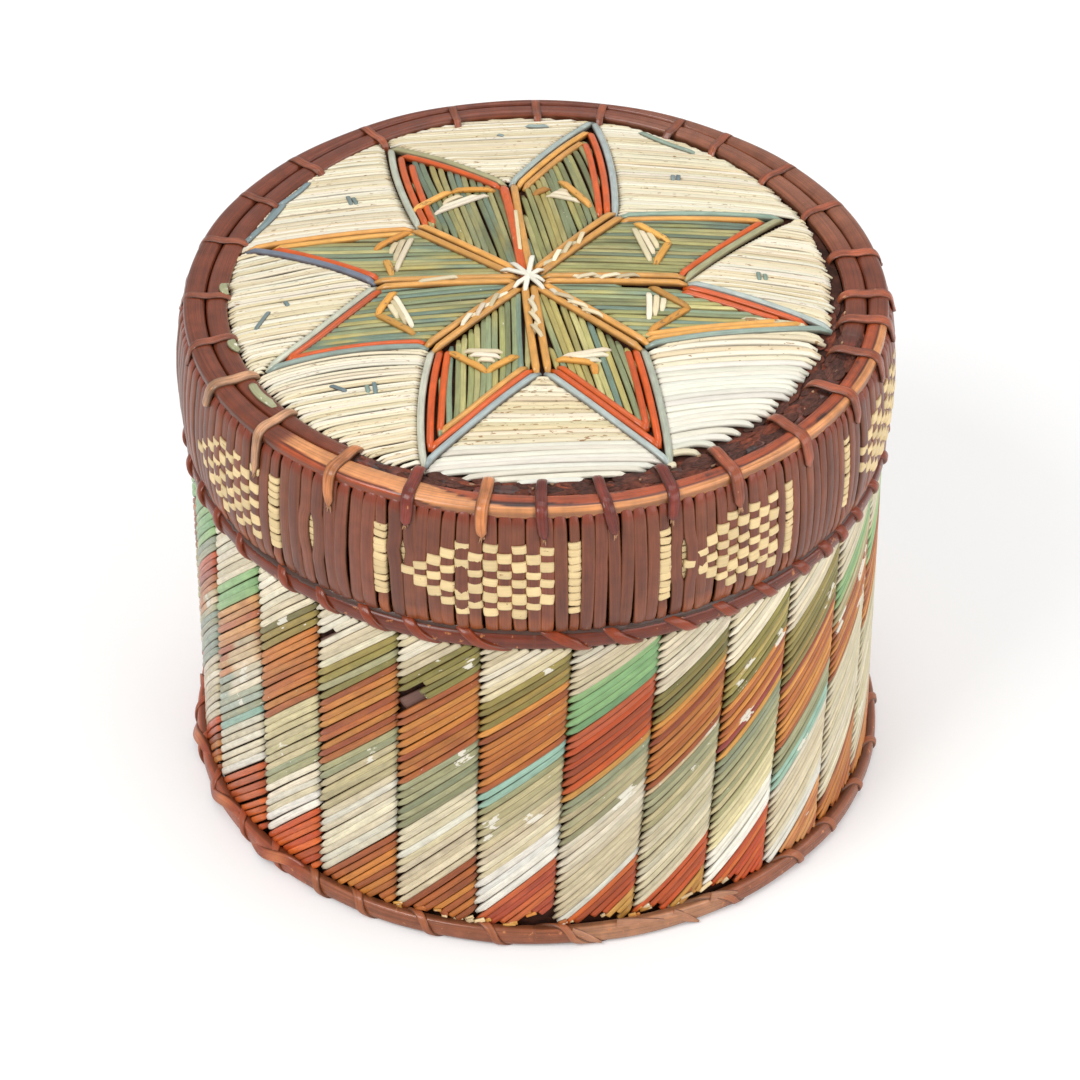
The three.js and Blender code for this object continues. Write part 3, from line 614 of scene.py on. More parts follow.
def zoned(front, zones, elsewhere, soft=4.0):
    """Colours round a hoop: each zone has its own between two angles."""
    colours = np.tile(np.asarray(elsewhere, float), (len(front), 1))
    for begin, end, colour in zones:
        share = within(front, begin, end, soft, soft)
        colours += (np.asarray(colour, float) - colours) * share[:, None]
    return colours


FOOT_RADIUS = 76.75
FOOT_HEIGHT = 2.7
FOOT_ZONES = [(-100, -39, (172, 84, 50)), (4, 34, (184, 128, 92))]
FOOT_CROSSINGS = [-88, -78.5, -68.3, -57, -47.5, -38.2, -29.5, -17.9, -6.6, 5.9, 33.6, 48.6, 58.2, 69.5]
FOOT_BROWN = (154, 88, 56)
FOOT_WINDING_BROWN = (164, 95, 60)
PEELED_SKIN = (186, 130, 98)
foot = Sheaf(31)
uneven = wave(foot.rng, (2, 5, 9, 17), ROUND)
foot_colours = zoned(ROUND, FOOT_ZONES, FOOT_BROWN)
radius, width = FOOT_RADIUS + 0.25 * uneven, 4.5 + 0.4 * uneven
hoop(foot, radius, FOOT_HEIGHT, outwards(ROUND), width, 2.9, foot_colours, 0.3)
foot.piece("foot_hoop", wood_finish, "box", "rim_root", "base_hoop")

foot_winding = Sheaf(32)
winding(
    foot_winding, FOOT_RADIUS, 2.75, 1.65, 2.3, FOOT_CROSSINGS, 11, 1.9, 0.9,
    lambda front: zoned(front, FOOT_ZONES, FOOT_WINDING_BROWN), ([0], [0.6]),
)
# A second root twisted with the first on the left
shares = np.linspace(0, 1, 90)
twist = shares * 2 * np.pi * 3.4 + 1.0
front = -97 + 57 * shares
path = around(front, 77.4 + 0.95 * np.cos(twist), 3.0 + 1.5 * np.sin(twist))
colours = np.array((176, 92, 56)) + np.array((22, 24, 18)) * np.sin(twist * 2)[:, None]
width = 2.3 * ease(shares / 0.05) * ease((1 - shares) / 0.05) + 0.4
foot_winding.strand(path, outwards(front, 0.4), width, 1.9, colours, 0.2, HOOP)
# Skin that peels off the hoop at the front: from, to, the height at each end, and how far it curls away
PEELS = [
    (5.6, 10.5, 4.2, 0.9, 0.5), (22.5, 27.0, 4.4, 0.6, 0.8), (13.0, 21.0, 5.2, 3.8, 0.3),
    (29.5, 34.5, 5.6, 4.2, 0.4),
]
for begin, end, top, bottom, curl in PEELS:
    shares = np.linspace(0, 1, 9)
    front = begin + (end - begin) * shares
    path = around(front, 77.9 + curl * shares**2, top + (bottom - top) * shares)
    foot_winding.strand(path, outwards(front), 3.0 * (1 - 0.85 * shares**2), 0.5, PEELED_SKIN, 0.3, ROOT)
foot_winding.piece("foot_winding", root_finish, "box", "binding_root", "base_hoop_binding")

# Broken quill ends along the torn foot
chips = Sheaf(35)
rng = chips.rng
for _ in range(46):
    at = rng.uniform(-24, 34)
    z = foot_line(at) + rng.uniform(-0.4, 1.2)
    length = rng.uniform(1.2, 2.8)
    shares = np.linspace(-0.5, 0.5, 5)
    radius = 75.6 + rng.uniform(0, 0.8) + 0.3 * shares
    path = around(at + np.degrees(length / 76 * shares), radius, z + length * rng.uniform(0.2, 0.8) * shares)
    width = rng.uniform(0.7, 1.3)
    colour = shade_of(rng.choice(["frayed", "ochre", "brown"]), rng)
    chips.strand(path, outwards(at, 0.3), width, 0.6, colour, 0.3)
chips.piece("foot_chips", quill_finish, "box", "quill_banded")

LOWER_RADIUS = 75.3
LOWER_HEIGHT = 85.4
LOWER_CROSSINGS = [
    -69.8, -62.4, -54.7, -43.5, -35.2, -26.5, -18.5, -9.0, 5.9, 13.3, 23.8, 31.5, 39.5, 47.6, 53.7, 58.4, 64.0
]
LOWER_BROWN = (112, 42, 14)
LOWER_WINDING_BROWN = (142.0, 57.0, 20.0)
EDGE_BARK = (74, 46, 34)
lower = Sheaf(33)
uneven = wave(lower.rng, (3, 7, 11), ROUND)
hoop(lower, LOWER_RADIUS + 0.12 * uneven, LOWER_HEIGHT, outwards(ROUND), 4.1, 3.4, LOWER_BROWN, 0.3)
# Rough bark left between the strips and the hoop
rough = lower.rng.uniform(0.5, 1.0, len(ROUND))
rough = rough * zoned(ROUND, [(-60, -27, [1]), (8, 36, [1])], [0.35])[:, 0]
hoop(lower, 75.4 + 0.5 * rough, 87.5, outwards(ROUND, 0.5), 1.2 + 0.6 * rough, 1.4, EDGE_BARK, 0.1)
lower.piece("lower_edge_hoop", gloss_finish, "lid", "rim_root", "lower_hoop")
lower_winding = Sheaf(34)
winding(
    lower_winding, LOWER_RADIUS, LOWER_HEIGHT, 1.95, 2.15, LOWER_CROSSINGS, 8.2, 2.3, 1.25,
    lambda front: np.tile(LOWER_WINDING_BROWN, (len(front), 1)), ([-45, -22, 25, 60], [0.6, -0.4, -0.4, 0.3]),
)
lower_winding.piece("lower_edge_winding", gloss_finish, "lid", "binding_root", "lower_hoop_binding")


# Side of the lid: upright root strips with a pattern woven through them

STRIP_RADIUS = 76.8
ROWS = 9
ROW_PITCH = 2.08
ROW_MIDDLE = 102.3
LADDER_ROWS = np.linspace(-3.6, 4.4, 10)
STRIP_PROFILE = np.array([
    (75.0, 88.0), (75.9, 88.6), (76.7, 91.5), (77.3, 97.0), (77.5, 103.0), (77.2, 109.0), (76.6, 114.0),
    (76.2, 116.4), (75.5, 117.8), (74.4, 118.6), (73.2, 118.8),
])
# Repeats of the weave: where each starts, the strips in its diamond and their pitch in degrees, the strips in
# its plain stretch, and how it closes
REPEATS = [
    (-67.5, 9, 2.12, 8, "ladder"), (-21.0, 11, 2.16, 6, "ladder"), (23.2, 9, 1.9, 8, "ladder"),
    (60.2, 11, 2.15, 7, "ladder"), (107.1, 11, 2.1, 7, "ladder"), (152.9, 11, 2.1, 7, "ladder"),
    (198.7, 11, 2.1, 7, "ladder"), (244.5, 11, 2.1, 7, "plain"), (292.5, 0, 0, 0, ""),
]
# Slits between strips: angle, the heights between which they open, half their width, whether a quill shows
SLITS = [
    (-36.6, 98, 109, 0.6, True), (-21.3, 103, 110, 0.45, True), (22.9, 97, 110, 0.45, True),
    (11.9, 105, 109, 0.12, False), (-29.5, 92, 104, 0.12, False), (33.9, 91, 97, 0.12, False),
]
# Heights of the cells of each row, from the lowest
CELL_HEIGHTS = [2.5, 2.0, 2.9, 2.9, 2.0, 2.0, 2.7, 2.6, 2.15]
STRIP_BROWN = np.array((118.0, 63.0, 44.0))
STRIP_EDGE = np.array((156.0, 88.0, 50.0))
STRIP_END = np.array((136.0, 58.0, 36.0))
STRAW = np.array((238.0, 210.0, 156.0))


def weave():
    """Each strip's angle and pitch in degrees, its kind, and the rows in which the weft passes over it."""
    for (begin, diamond, fine, plain, closing), (end, *_) in zip(REPEATS, REPEATS[1:]):
        kinds = list(range(diamond)) + ["plain", "ladder"] + ["plain"] * plain + [closing, "plain"]
        broad = (end - begin - diamond * fine) / (len(kinds) - diamond)
        for kind in kinds:
            pitch = broad if isinstance(kind, str) else fine
            if kind == "plain":
                rows = []
            elif kind == "ladder":
                rows = LADDER_ROWS
            else:
                reach = min(kind, ROWS // 2)
                rows = [row for row in range(-reach, reach + 1) if (row + kind) % 2 == 0]
            yield begin + pitch / 2, pitch, kind, rows
            begin += pitch


def over_strips(z):
    return np.interp(z, STRIP_PROFILE[:7, 1], STRIP_PROFILE[:7, 0])


def root_strip(sheaf, middle, pitch, kind):
    """One upright strip, which bends into the rim at its top and lies lower under a ladder of quills."""
    rng = sheaf.rng
    width = np.radians(pitch) * STRIP_RADIUS * rng.uniform(0.97, 1.05) * (0.8 if kind == "ladder" else 1.0)
    shares = np.linspace(0, 1, 27)
    steps = np.linspace(0, 1, len(STRIP_PROFILE))
    radius = np.interp(shares, steps, STRIP_PROFILE[:, 0]) + rng.uniform(-0.15, 0.2)
    height = np.interp(shares, steps, STRIP_PROFILE[:, 1])
    if kind == "ladder":
        radius -= 0.9 * ease((height - 92) / 3) * ease((113 - height) / 3)
    front = middle + rng.uniform(-0.5, 0.4) * (shares - 0.5)
    front = front + 0.18 * np.sin(shares * np.pi * rng.uniform(1, 2) + rng.uniform(0, 6))
    for slit, low, high, opening, _ in slits:
        if abs(middle - slit) < pitch:
            front += np.sign(middle - slit) * opening * ease((height - low) / 3) * ease((high - height) / 3)
    body = STRIP_BROWN * rng.uniform(0.88, 1.1)
    warm = 0.5 * drift(rng, 7, 0.1)(shares, height) * rng.uniform(0, 1)
    edge = STRIP_EDGE * rng.uniform(0.9, 1.1)
    colours = body + (edge - body) * np.maximum(STRIP_SIDES, warm[:, None])[..., None]
    colours = colours + (STRIP_END - colours) * (0.8 * ease((height - 115.2) / 2.2))[:, None, None]
    if kind != "plain":
        colours = colours + np.array((26, 12, -2)) * ease((93 - height) / 2)[:, None, None]
    taper = 1 - 0.04 * np.cos(shares * 2 * np.pi)
    taper = taper * np.sqrt(1 - 0.25 * np.clip((height - 115.9) / 1.7, 0, 1) ** 2)
    outward = outwards(front) + UP * ease((height - 115) / 3)[:, None]
    sheaf.strand(around(front, radius, height), outward, width * taper, 1.3, colours, 0.05, STRIP)


def woven_cell(sheaf, middle, pitch, row, in_ladder):
    """One stretch of the weft where it passes over a strip."""
    rng = sheaf.rng
    across = np.linspace(-1, 1, 9)
    z = ROW_MIDDLE + row * ROW_PITCH + rng.uniform(-0.2, 0.2)
    if in_ladder:
        tall, reach, proud = rng.uniform(1.4, 2.15), 0.48, 0.35
    else:
        tall, reach, proud = CELL_HEIGHTS[row + ROWS // 2] * rng.uniform(0.92, 1.06), 0.53, 0.55
    bulge = np.sqrt(np.clip(1 - across**6, 0, 1))
    front = middle + pitch * reach * across
    radius = over_strips(z) + proud - 0.95 + 0.95 * bulge
    path = around(front, radius, z + rng.uniform(-0.25, 0.25) * across)
    colour = np.clip(STRAW * rng.uniform(0.94, 1.03), 0, LIGHTEST)
    sheaf.strand(path, outwards(front), tall * (0.92 + 0.08 * bulge), 0.6, colour, 0.2, CELL)


strips, weft = Sheaf(41), Sheaf(42)
beside_strips = np.array([front - pitch / 2 for front, pitch, *_ in weave()])
slits = [(beside_strips[np.argmin(np.abs(beside_strips - slit[0]))], *slit[1:]) for slit in SLITS]
for front, pitch, kind, rows in weave():
    middle = front + pitch * strips.rng.uniform(-0.08, 0.08)
    root_strip(strips, middle, pitch, kind)
    for row in rows:
        lost_cell = -18 < front < -10 and row == 0 and kind == 4
        if not lost_cell and weft.rng.uniform() >= 0.012:
            woven_cell(weft, middle, pitch, row, kind == "ladder")
for slit, low, high, _, quill_shows in slits:
    for z in np.arange(low, high, 1.75) if quill_shows else ():
        front = slit + np.linspace(-0.7, 0.7, 5)
        path = around(front, over_strips(z) - 0.5, z)
        weft.strand(path, outwards(front), 1.6, 0.6, STRAW * weft.rng.uniform(0.92, 1.0), 0.2, CELL)
strips.piece("root_strips", root_finish, "lid", "root_strip", "lid_root_strips")
weft.piece("woven_quills", cream_finish, "lid", "quill_cream", "lid_weft_quills")


# Rim of the lid: two hoops, the skin left on them, and the root lashing

RIM_INSIDE = 66.5
RIM_OUTSIDE = 76.05
OUTER_RIM_HEIGHT = 118.6
INNER_RIM_HEIGHT = 118.7
BROWN_SKIN = np.array((120.0, 59.0, 37.0))
DUSTY_SKIN = np.array((142.0, 86.0, 62.0))
BARE_WOOD = np.array((218.0, 146.0, 92.0))
RED_WOOD = np.array((172.0, 78.0, 40.0))
CHARRED = np.array((62.0, 28.0, 20.0))
ROUGH_BARK = np.array((92.0, 46.0, 34.0))


def roughness_round(rng, reach):
    """Random values round a hoop, alike over a few steps, between about -1 and 1."""
    raw = rng.uniform(-1, 1, len(ROUND))
    return sum(np.roll(raw, k) for k in range(reach)) / np.sqrt(reach)


def between_hoops(front):
    """Radius at which the two rim hoops meet: the outer one is broader at the front."""
    return np.interp(front, [-60, -46, -27, 0, 20, 84, 100], [71.3, 70.5, 69.8, 70.3, 71.3, 71.6, 71.3])


def towards_back(front):
    """How far round to the back a place is, where the quilled top comes close to the rim."""
    return ease((np.abs(front) - 120) / 50)


back = towards_back(ROUND)
rim_skin = zoned(ROUND, [(95, 172, DUSTY_SKIN)], BROWN_SKIN, 20.0)

outer = Sheaf(51)
uneven = wave(outer.rng, (2, 5, 9, 16), ROUND)
bare = ease((ROUND + 46 + 3 * uneven) / 3) * ease((84 - ROUND) / 5)
# Bare wood shows in a pale stripe, which lies higher on the left of the front, beside charred streaks
turn = np.degrees(np.arctan2(HOOP[:, 1], HOOP[:, 0]))
pale_middle = np.interp(ROUND, [-46, -24, -18, -11, -4, 20, 84], [114, 106, 80, 28, -2, 6, 14])
beside = np.abs(turn - (pale_middle[:, None] + 9 * uneven[:, None]))
streaks = np.array([roughness_round(outer.rng, 25) for _ in range(5)])
marks = np.stack([np.interp(turn, [40, 70, 95, 120, 150], column) for column in streaks.T])
charred = ease((marks - 0.25) / 0.5) * ease((turn - 50) / 20) * ease((ROUND + 16) / 8)[:, None]
charred = 0.85 * charred + 0.9 * np.exp(-(((beside - 57) / 5) ** 2))
wood = RED_WOOD + (CHARRED - RED_WOOD) * np.clip(charred, 0, 1)[..., None]
wood = wood + (BARE_WOOD - wood) * ease((55 - beside) / 6)[..., None]
outer_colours = rim_skin[:, None] + (wood - rim_skin[:, None]) * bare[:, None, None]
inside, outside = between_hoops(ROUND) + 2.7 * back, RIM_OUTSIDE - 0.05 * bare
radius, z = (inside + outside) / 2 + 0.12 * uneven, OUTER_RIM_HEIGHT + 0.15 * np.roll(uneven, 90)
hoop(outer, radius, z, UP, outside - inside + 0.12 * np.roll(uneven, 40), 3.3, outer_colours, 0.08)
outer.piece("outer_rim", wood_finish, "lid", "rim_root", "outer_rim_hoop")

inner = Sheaf(52)
uneven = wave(inner.rng, (3, 6, 10, 15), ROUND)
rough = within(ROUND, -36, 82, 4, 8)
jitter = roughness_round(inner.rng, 5) * rough
crusts = ROUGH_BARK + np.array((46, 12, 2)) * roughness_round(inner.rng, 7)[:, None]
inner_colours = rim_skin + (crusts - rim_skin) * rough[:, None]
inside, outside = RIM_INSIDE + 3.7 * back, between_hoops(ROUND) - 0.15 + 2.7 * back
radius, z = (inside + outside) / 2 + 0.1 * uneven, INNER_RIM_HEIGHT - 0.7 * rough + 0.2 * jitter
hoop(inner, radius, z, UP, outside - inside + 0.4 * jitter, 3.1 - 0.6 * rough, inner_colours, 0.08)
inner.piece("inner_rim", wood_finish, "lid", "rim_root", "inner_rim_hoop")

# Lashings from the back round by the left, by colour: where each crosses the rim, its width, how low it hangs
LASHING_BROWN = (150, 80, 52)
LASHING_TAN = (196, 122, 72)
LASHING_PALE = (206, 152, 112)
LASHING_RED = (132, 50, 34)
LASHING_WARM = (162, 82, 50)
LASHINGS = [
    (LASHING_BROWN, [
        (-165, 2.0, 116.5), (-149, 2.2, 116.5), (-133.5, 2.3, 116.5), (-120, 2.2, 116.5), (-106, 2.2, 116.5),
        (-89, 2.2, 116), (-75.5, 2.4, 115.5),
    ]),
    (LASHING_PALE, [(-63.6, 2.9, 115.2), (-49.5, 2.6, 110.5)]),
    (LASHING_TAN, [(-33.7, 2.7, 112.6)]),
    (LASHING_RED, [(-20.6, 2.5, 113.8)]),
    (LASHING_TAN, [(-8.4, 2.4, 113.8)]),
    (LASHING_RED, [(1.1, 2.2, 113.8), (11.2, 2.2, 113.8), (22.0, 2.4, 114.8)]),
    (LASHING_WARM, [
        (33.0, 2.7, 112.6), (47.6, 2.8, 113.4), (60.6, 2.9, 113.4), (72.0, 2.9, 114.2), (81.7, 2.9, 115),
        (89.5, 2.9, 115.5), (102, 2.6, 116.5), (116.6, 2.4, 116.5), (130.5, 2.3, 116.5),
    ]),
    (LASHING_BROWN, [(144.4, 2.2, 116.5), (154.2, 2.1, 116.5), (168, 2.0, 116.5), (180, 2.0, 116.5)]),
]
LASHING_PATH = np.array([
    (65.2, 117.6), (65.6, 119.2), (66.7, 120.3), (68.8, 120.6), (71.2, 120.15), (73.7, 120.6), (75.7, 120.2),
    (76.7, 118.8), (77.0, 117.0),
])
FRAYED_ROOT = (204, 150, 106)


def lash(sheaf, at, base_colour, width, tail):
    """One turn of the lashing, from inside the rim over both hoops, with a frayed end at the front."""
    rng = sheaf.rng
    hang = np.linspace(115.8, tail, 3) if tail < 115.5 else [tail]
    stops = np.array([*LASHING_PATH, *((over_strips(z) + 0.85, z) for z in hang)])
    stops[:, 0] += 2.2 * towards_back(at) * (stops[:, 0] < 68)
    proud = within(at, -80, 108, 14, 14)
    stops[:, 0] -= 0.4 * (1 - proud) * (stops[:, 0] > 75)
    steps = np.linspace(0, 1, len(stops))
    shares = np.linspace(0, 1, 40)
    radius, height = (np.interp(shares, steps, stops[:, k]) for k in (0, 1))
    for way in (radius, height):
        way[2:-2] = np.convolve(way, np.ones(5) / 5, "valid")
    front = at + rng.uniform(-1.4, 1.4) * (shares - 0.4) + 0.25 * np.sin(shares * 5 + rng.uniform(0, 6))
    ahead = np.gradient(np.stack([radius, height], 1), axis=0)
    outward = unit(around(front, -ahead[:, 1], ahead[:, 0]))
    body = np.array(base_colour, float) * rng.uniform(0.92, 1.08)
    # Painted shade: each lashing darkens towards its edges, where its rounded sides turn from the light
    colours = body * (1 - 0.25 * STRIP_SIDES[:, None])
    colours = colours * (1 + 0.08 * np.sin(shares * 9 + rng.uniform(0, 6)))[:, None, None]
    full = width * rng.uniform(0.92, 1.05) * (0.75 + 0.25 * np.sin(np.pi * shares))
    full = full * (0.45 + 0.55 * ease((1 - shares) / 0.08))
    full = full * (1 + 0.2 * proud * ease((50 - at) / 10) * ease((at + 30) / 10))
    thick = 0.45 + (0.75 if at < 40 else 0.4) * proud
    path = around(front, radius, height)
    sheaf.strand(path, outward, full, thick, np.clip(colours, 0, LIGHTEST), 0.2, STRIP)
    for _ in range(5 if -60 < at < 36 and tail < 115 else 0):
        fray = np.linspace(0, 1, 6)
        spread, reach = rng.uniform(-0.5, 0.5), rng.uniform(0.8, 2.2)
        z = tail + 0.6 - reach * fray
        fibre = around(front[-1] + spread * fray, over_strips(z) + 0.8 + 0.3 * fray, z)
        sheaf.strand(fibre, outwards(at), 0.7 * (1 - 0.8 * fray), 0.35, FRAYED_ROOT, 0.1, ROOT)


lashing = Sheaf(53)
for lashing_colour, turns in LASHINGS:
    for at, width, tail in turns:
        lash(lashing, at, lashing_colour, width, tail)
lashing.piece("lashing", lashing_finish, "lid", "binding_root", "rim_lashing")

# Ellipse of the quilled top, and crumbled bark between it and the rim, thickest on the right
QUILLED_CENTRE = np.array([-1.5, 2.0])
QUILLED_HALF = np.array([65.0, 68.0])
CRUSTS = [(92, 52, 40), (108, 56, 40), (84, 50, 40), (122, 60, 40), (98, 58, 46)]
SPECK = (190, 150, 116)
crust = Sheaf(54)
rng = crust.rng
for _ in range(230):
    at = rng.triangular(-52, 40, 98)
    quilled = 1 / np.hypot(*(outwards(at)[:2] / QUILLED_HALF))
    radius = rng.uniform(quilled - 2.0, between_hoops(at) - 0.3)
    lift = 119.3 if radius > TOP_RADIUS else dome(radius) - 1.3
    speck = rng.uniform() < 0.06
    shares = np.linspace(-0.5, 0.5, 6)
    length = rng.uniform(0.5, 1.4) if speck else rng.uniform(3.0, 9.0)
    front = at + np.degrees(length / 68) * shares
    radius = radius + rng.uniform(-0.15, 0.15) * length * shares
    path = around(front, radius, lift + rng.uniform(-0.2, 0.1) + 0.3 * speck)
    colour = np.array(SPECK if speck else CRUSTS[rng.integers(len(CRUSTS))]) * rng.uniform(0.88, 1.1)
    girth = rng.uniform(0.4, 0.7) if speck else rng.uniform(1.3, 3.2)
    girth = girth * np.array((0.3, 0.8, 1, 1, 0.7, 0.25))
    crust.strand(path, UP, girth, 0.5 if speck else 0.2, np.clip(colour, 0, LIGHTEST), 0.16, STRIP)
crust.piece("rim_crust", crumbled_finish, "lid", "bark_dark")


# Star and fields of quills on the top

STAR_CENTRE = np.array([-1.7, -1.4])
# Star points and the notches between them, counterclockwise from the right, about the lid's axis
TIPS = np.array([
    (65.6, -14.4), (56.1, 28.4), (13.3, 70.8), (-34.0, 58.2), (-66.3, 16.1), (-58.7, -29.7), (-23.2, -63.4),
    (28.6, -62.4),
])
NOTCHES = np.array([
    (32.8, 0.0), (18.1, 24.9), (-6.3, 37.8), (-26.5, 20.0), (-35.0, -1.4), (-22.7, -25.1), (1.4, -33.6),
    (23.4, -24.4),
])
# How far the edges before and after each tip bow outwards
EDGE_BOWS = [
    (-1.6, 1.6), (-0.6, 0.8), (1.6, 0.7), (1.0, 1.2), (1.2, -1.8), (0.0, -2.2), (1.9, -0.8), (0.0, 0.9)
]


def leftwards(vector):
    return np.array([-vector[1], vector[0]])


def clipped(point, direction, outline):
    """Where a line enters and leaves a convex counterclockwise outline, or None."""
    low, high = -1e9, 1e9
    for a, b in zip(outline, np.roll(outline, -1, 0)):
        inward = leftwards(b - a)
        depth, speed = inward @ (point - a), inward @ direction
        if abs(speed) < 1e-9:
            continue
        if speed > 0:
            low = max(low, -depth / speed)
        else:
            high = min(high, -depth / speed)
    return (point + direction * low, point + direction * high) if high > low + 0.8 else None


def hatched(outline, angle, fan, pitch, rng):
    """Lines across an outline, which turn by a fan of degrees from the first to the last."""
    across = heading(angle + 90)
    reach = outline @ across
    middle = outline.mean(0)
    offset = reach.min() + pitch * 0.4
    while offset < reach.max():
        share = (offset - reach.min()) / (reach.max() - reach.min())
        point = middle + across * (offset - middle @ across)
        ends = clipped(point, heading(angle + fan * (share - 0.5) + pitch * rng.uniform(-0.5, 0.5)), outline)
        if ends:
            yield share, ends
        offset += pitch * rng.uniform(0.9, 1.1)


def bent(plan):
    """Points of the top moved with the edges of the star, which are drawn straight but bow out or in."""
    moved = plan.copy()
    for k, bows in enumerate(EDGE_BOWS):
        for side, notch, bow in zip((1, -1), (NOTCHES[k - 1], NOTCHES[k]), bows):
            run = TIPS[k] - notch
            outward = side * unit(-leftwards(run))
            share = np.clip((plan - notch) @ run / (run @ run), 0, 1)
            away = (plan - notch) @ outward
            moved += (bow * 4 * share * (1 - share) * np.exp(-((away / 5) ** 2)))[:, None] * outward
    return moved


def lay(
    sheaf, start, end, width, colour, lift=0.0, bow=0.0, tuck=0.6, taper=0.6, wear=0.0, flat=0.85,
    stations=13, section=QUILL, hooks=(0, 0),
):
    """One quill on the dome, bowed sideways, with its ends drawn in or hooked to the front."""
    share = np.linspace(0, 1, stations)
    run = np.asarray(end, float) - np.asarray(start, float)
    length = np.hypot(*run)
    sideways = leftwards(run) / length
    plan = np.asarray(start, float) + run * share[:, None]
    plan = plan + sideways * (bow * 4 * share * (1 - share))[:, None]
    for hook, left in zip(hooks, (share * length, (1 - share) * length)):
        plan[:, 1] -= hook * np.clip(1 - left / 6, 0, 1) ** 2
    plan = bent(plan)
    drawn = ease(np.minimum(share, 1 - share) * length / min(1.6, 0.3 * length))
    z = dome(np.hypot(plan[:, 0], plan[:, 1])) + lift - width * flat / 2 - tuck * (1 - drawn)
    outward = unit(np.column_stack([plan * (2 * DOME_RISE) / DOME_RADIUS**2, np.ones(stations)]))
    across = width * (taper + (1 - taper) * drawn)
    sheaf.strand(np.column_stack([plan, z]), outward, across, across * flat, colour, wear, section)


def crossing(a, b, c, d):
    """Where the lines ab and cd meet."""
    (p, q), (r, t) = b - a, d - c
    e, f = c - a
    return a + (b - a) * (e * t - f * r) / (p * t - q * r)


def inset_edges(before, tip, after, first, second):
    """The two outer edges of a star point, each moved inwards: the new ends at the notches and at the tip."""
    sides = []
    for a, b, by in ((before, tip, first), (tip, after, second)):
        inward = unit(leftwards(b - a))
        sides.append((a + inward * by, b + inward * by))
    return sides[0][0], crossing(*sides[0], *sides[1]), sides[1][1]


GREY_GREEN = (188, 192, 170)
BLUE_GREY = (166, 177, 174)
STEEL = (112, 124, 138)
TEAL_BLUE = (148, 168, 154)
SAGE_LINE = (164, 162, 122)
ORANGE_RED = (208, 88, 24)
OCHRE = (224, 162, 80)
COOL_DYES = (GREY_GREEN, BLUE_GREY, STEEL, TEAL_BLUE, SAGE_LINE)
# For each star point: the run of its quills and their fan, its outline's dyes from the outside in on its two
# edges, and how light it is
POINTS = [
    (0, 0, [TEAL_BLUE, OCHRE, OCHRE], [BLUE_GREY, ORANGE_RED, ORANGE_RED], 1.16),
    (1, 4, [SAGE_LINE, ORANGE_RED], [TEAL_BLUE, OCHRE], 1.02),
    (101, 0, [BLUE_GREY, ORANGE_RED, ORANGE_RED], [BLUE_GREY, OCHRE, OCHRE], 1.03),
    (103, 4, [SAGE_LINE, ORANGE_RED], [GREY_GREEN, ORANGE_RED, ORANGE_RED], 0.98),
    (-2, -6, [OCHRE, OCHRE], [STEEL, ORANGE_RED], 1.08),
    (4, 6, [GREY_GREEN, ORANGE_RED], [TEAL_BLUE, ORANGE_RED], 1.08),
    (91, 0, [GREY_GREEN, ORANGE_RED, ORANGE_RED], [BLUE_GREY, ORANGE_RED, OCHRE], 1.16),
    (103, 0, [BLUE_GREY, ORANGE_RED, ORANGE_RED], [GREY_GREEN, ORANGE_RED, ORANGE_RED], 1.14),
]
PETAL_SHADES = np.array([
    (158, 152, 96), (142, 142, 88), (170, 162, 108), (126, 134, 98), (116, 130, 104), (106, 126, 110),
    (164, 150, 88), (114, 118, 80),
])
LINE_WIDTH = 1.7
PETAL_PITCH = 1.36

cool_lines, warm_lines = Sheaf(61), Sheaf(62)
for k, (angle, fan, before_dyes, after_dyes, tone) in enumerate(POINTS):
    corner = NOTCHES[k - 1], TIPS[k], NOTCHES[k]
    for end, dyes in ((0, before_dyes), (2, after_dyes)):
        for depth, dye in enumerate(dyes):
            inset = LINE_WIDTH * (depth + 0.5)
            ends = inset_edges(*corner, inset, inset)
            sheaf = cool_lines if dye in COOL_DYES else warm_lines
            colour = np.array(dye) * sheaf.rng.uniform(0.94, 1.05) + sheaf.rng.uniform(-3, 3, 3)
            lay(
                sheaf, ends[end], ends[1], LINE_WIDTH * 0.98, np.clip(colour, 0, LIGHTEST),
                lift=0.65 - 0.1 * depth, tuck=0.7, taper=0.75, wear=0.12, flat=0.95, stations=17,
                section=TUBE,
            )
    insets = (LINE_WIDTH * len(dyes) - 1.4 for dyes in (before_dyes, after_dyes))
    outline = np.array([STAR_CENTRE, *inset_edges(*corner, *insets)])
    petal = Sheaf(70 + k)
    rng = petal.rng
    mottled = drift(rng, 5, 0.3)
    for share, (start, end) in hatched(outline, angle, fan, PETAL_PITCH, rng):
        shades = PETAL_SHADES[rng.integers(len(PETAL_SHADES), size=2)]
        one, other = tone * shades * rng.uniform(0.9, 1.08, (2, 1))
        colour = one + (other - one) * mottled(np.linspace(0, 1, 13), share * 20)[:, None]
        colour = np.clip(colour, 0, LIGHTEST)
        lay(petal, start, end, 1.4, colour, bow=rng.uniform(-0.25, 0.25), tuck=0.3, wear=0.12, flat=0.75)
    petal.piece(f"petal_quills_{k + 1}", quill_finish, "lid", "quill_green", f"star_petal_{k + 1}")

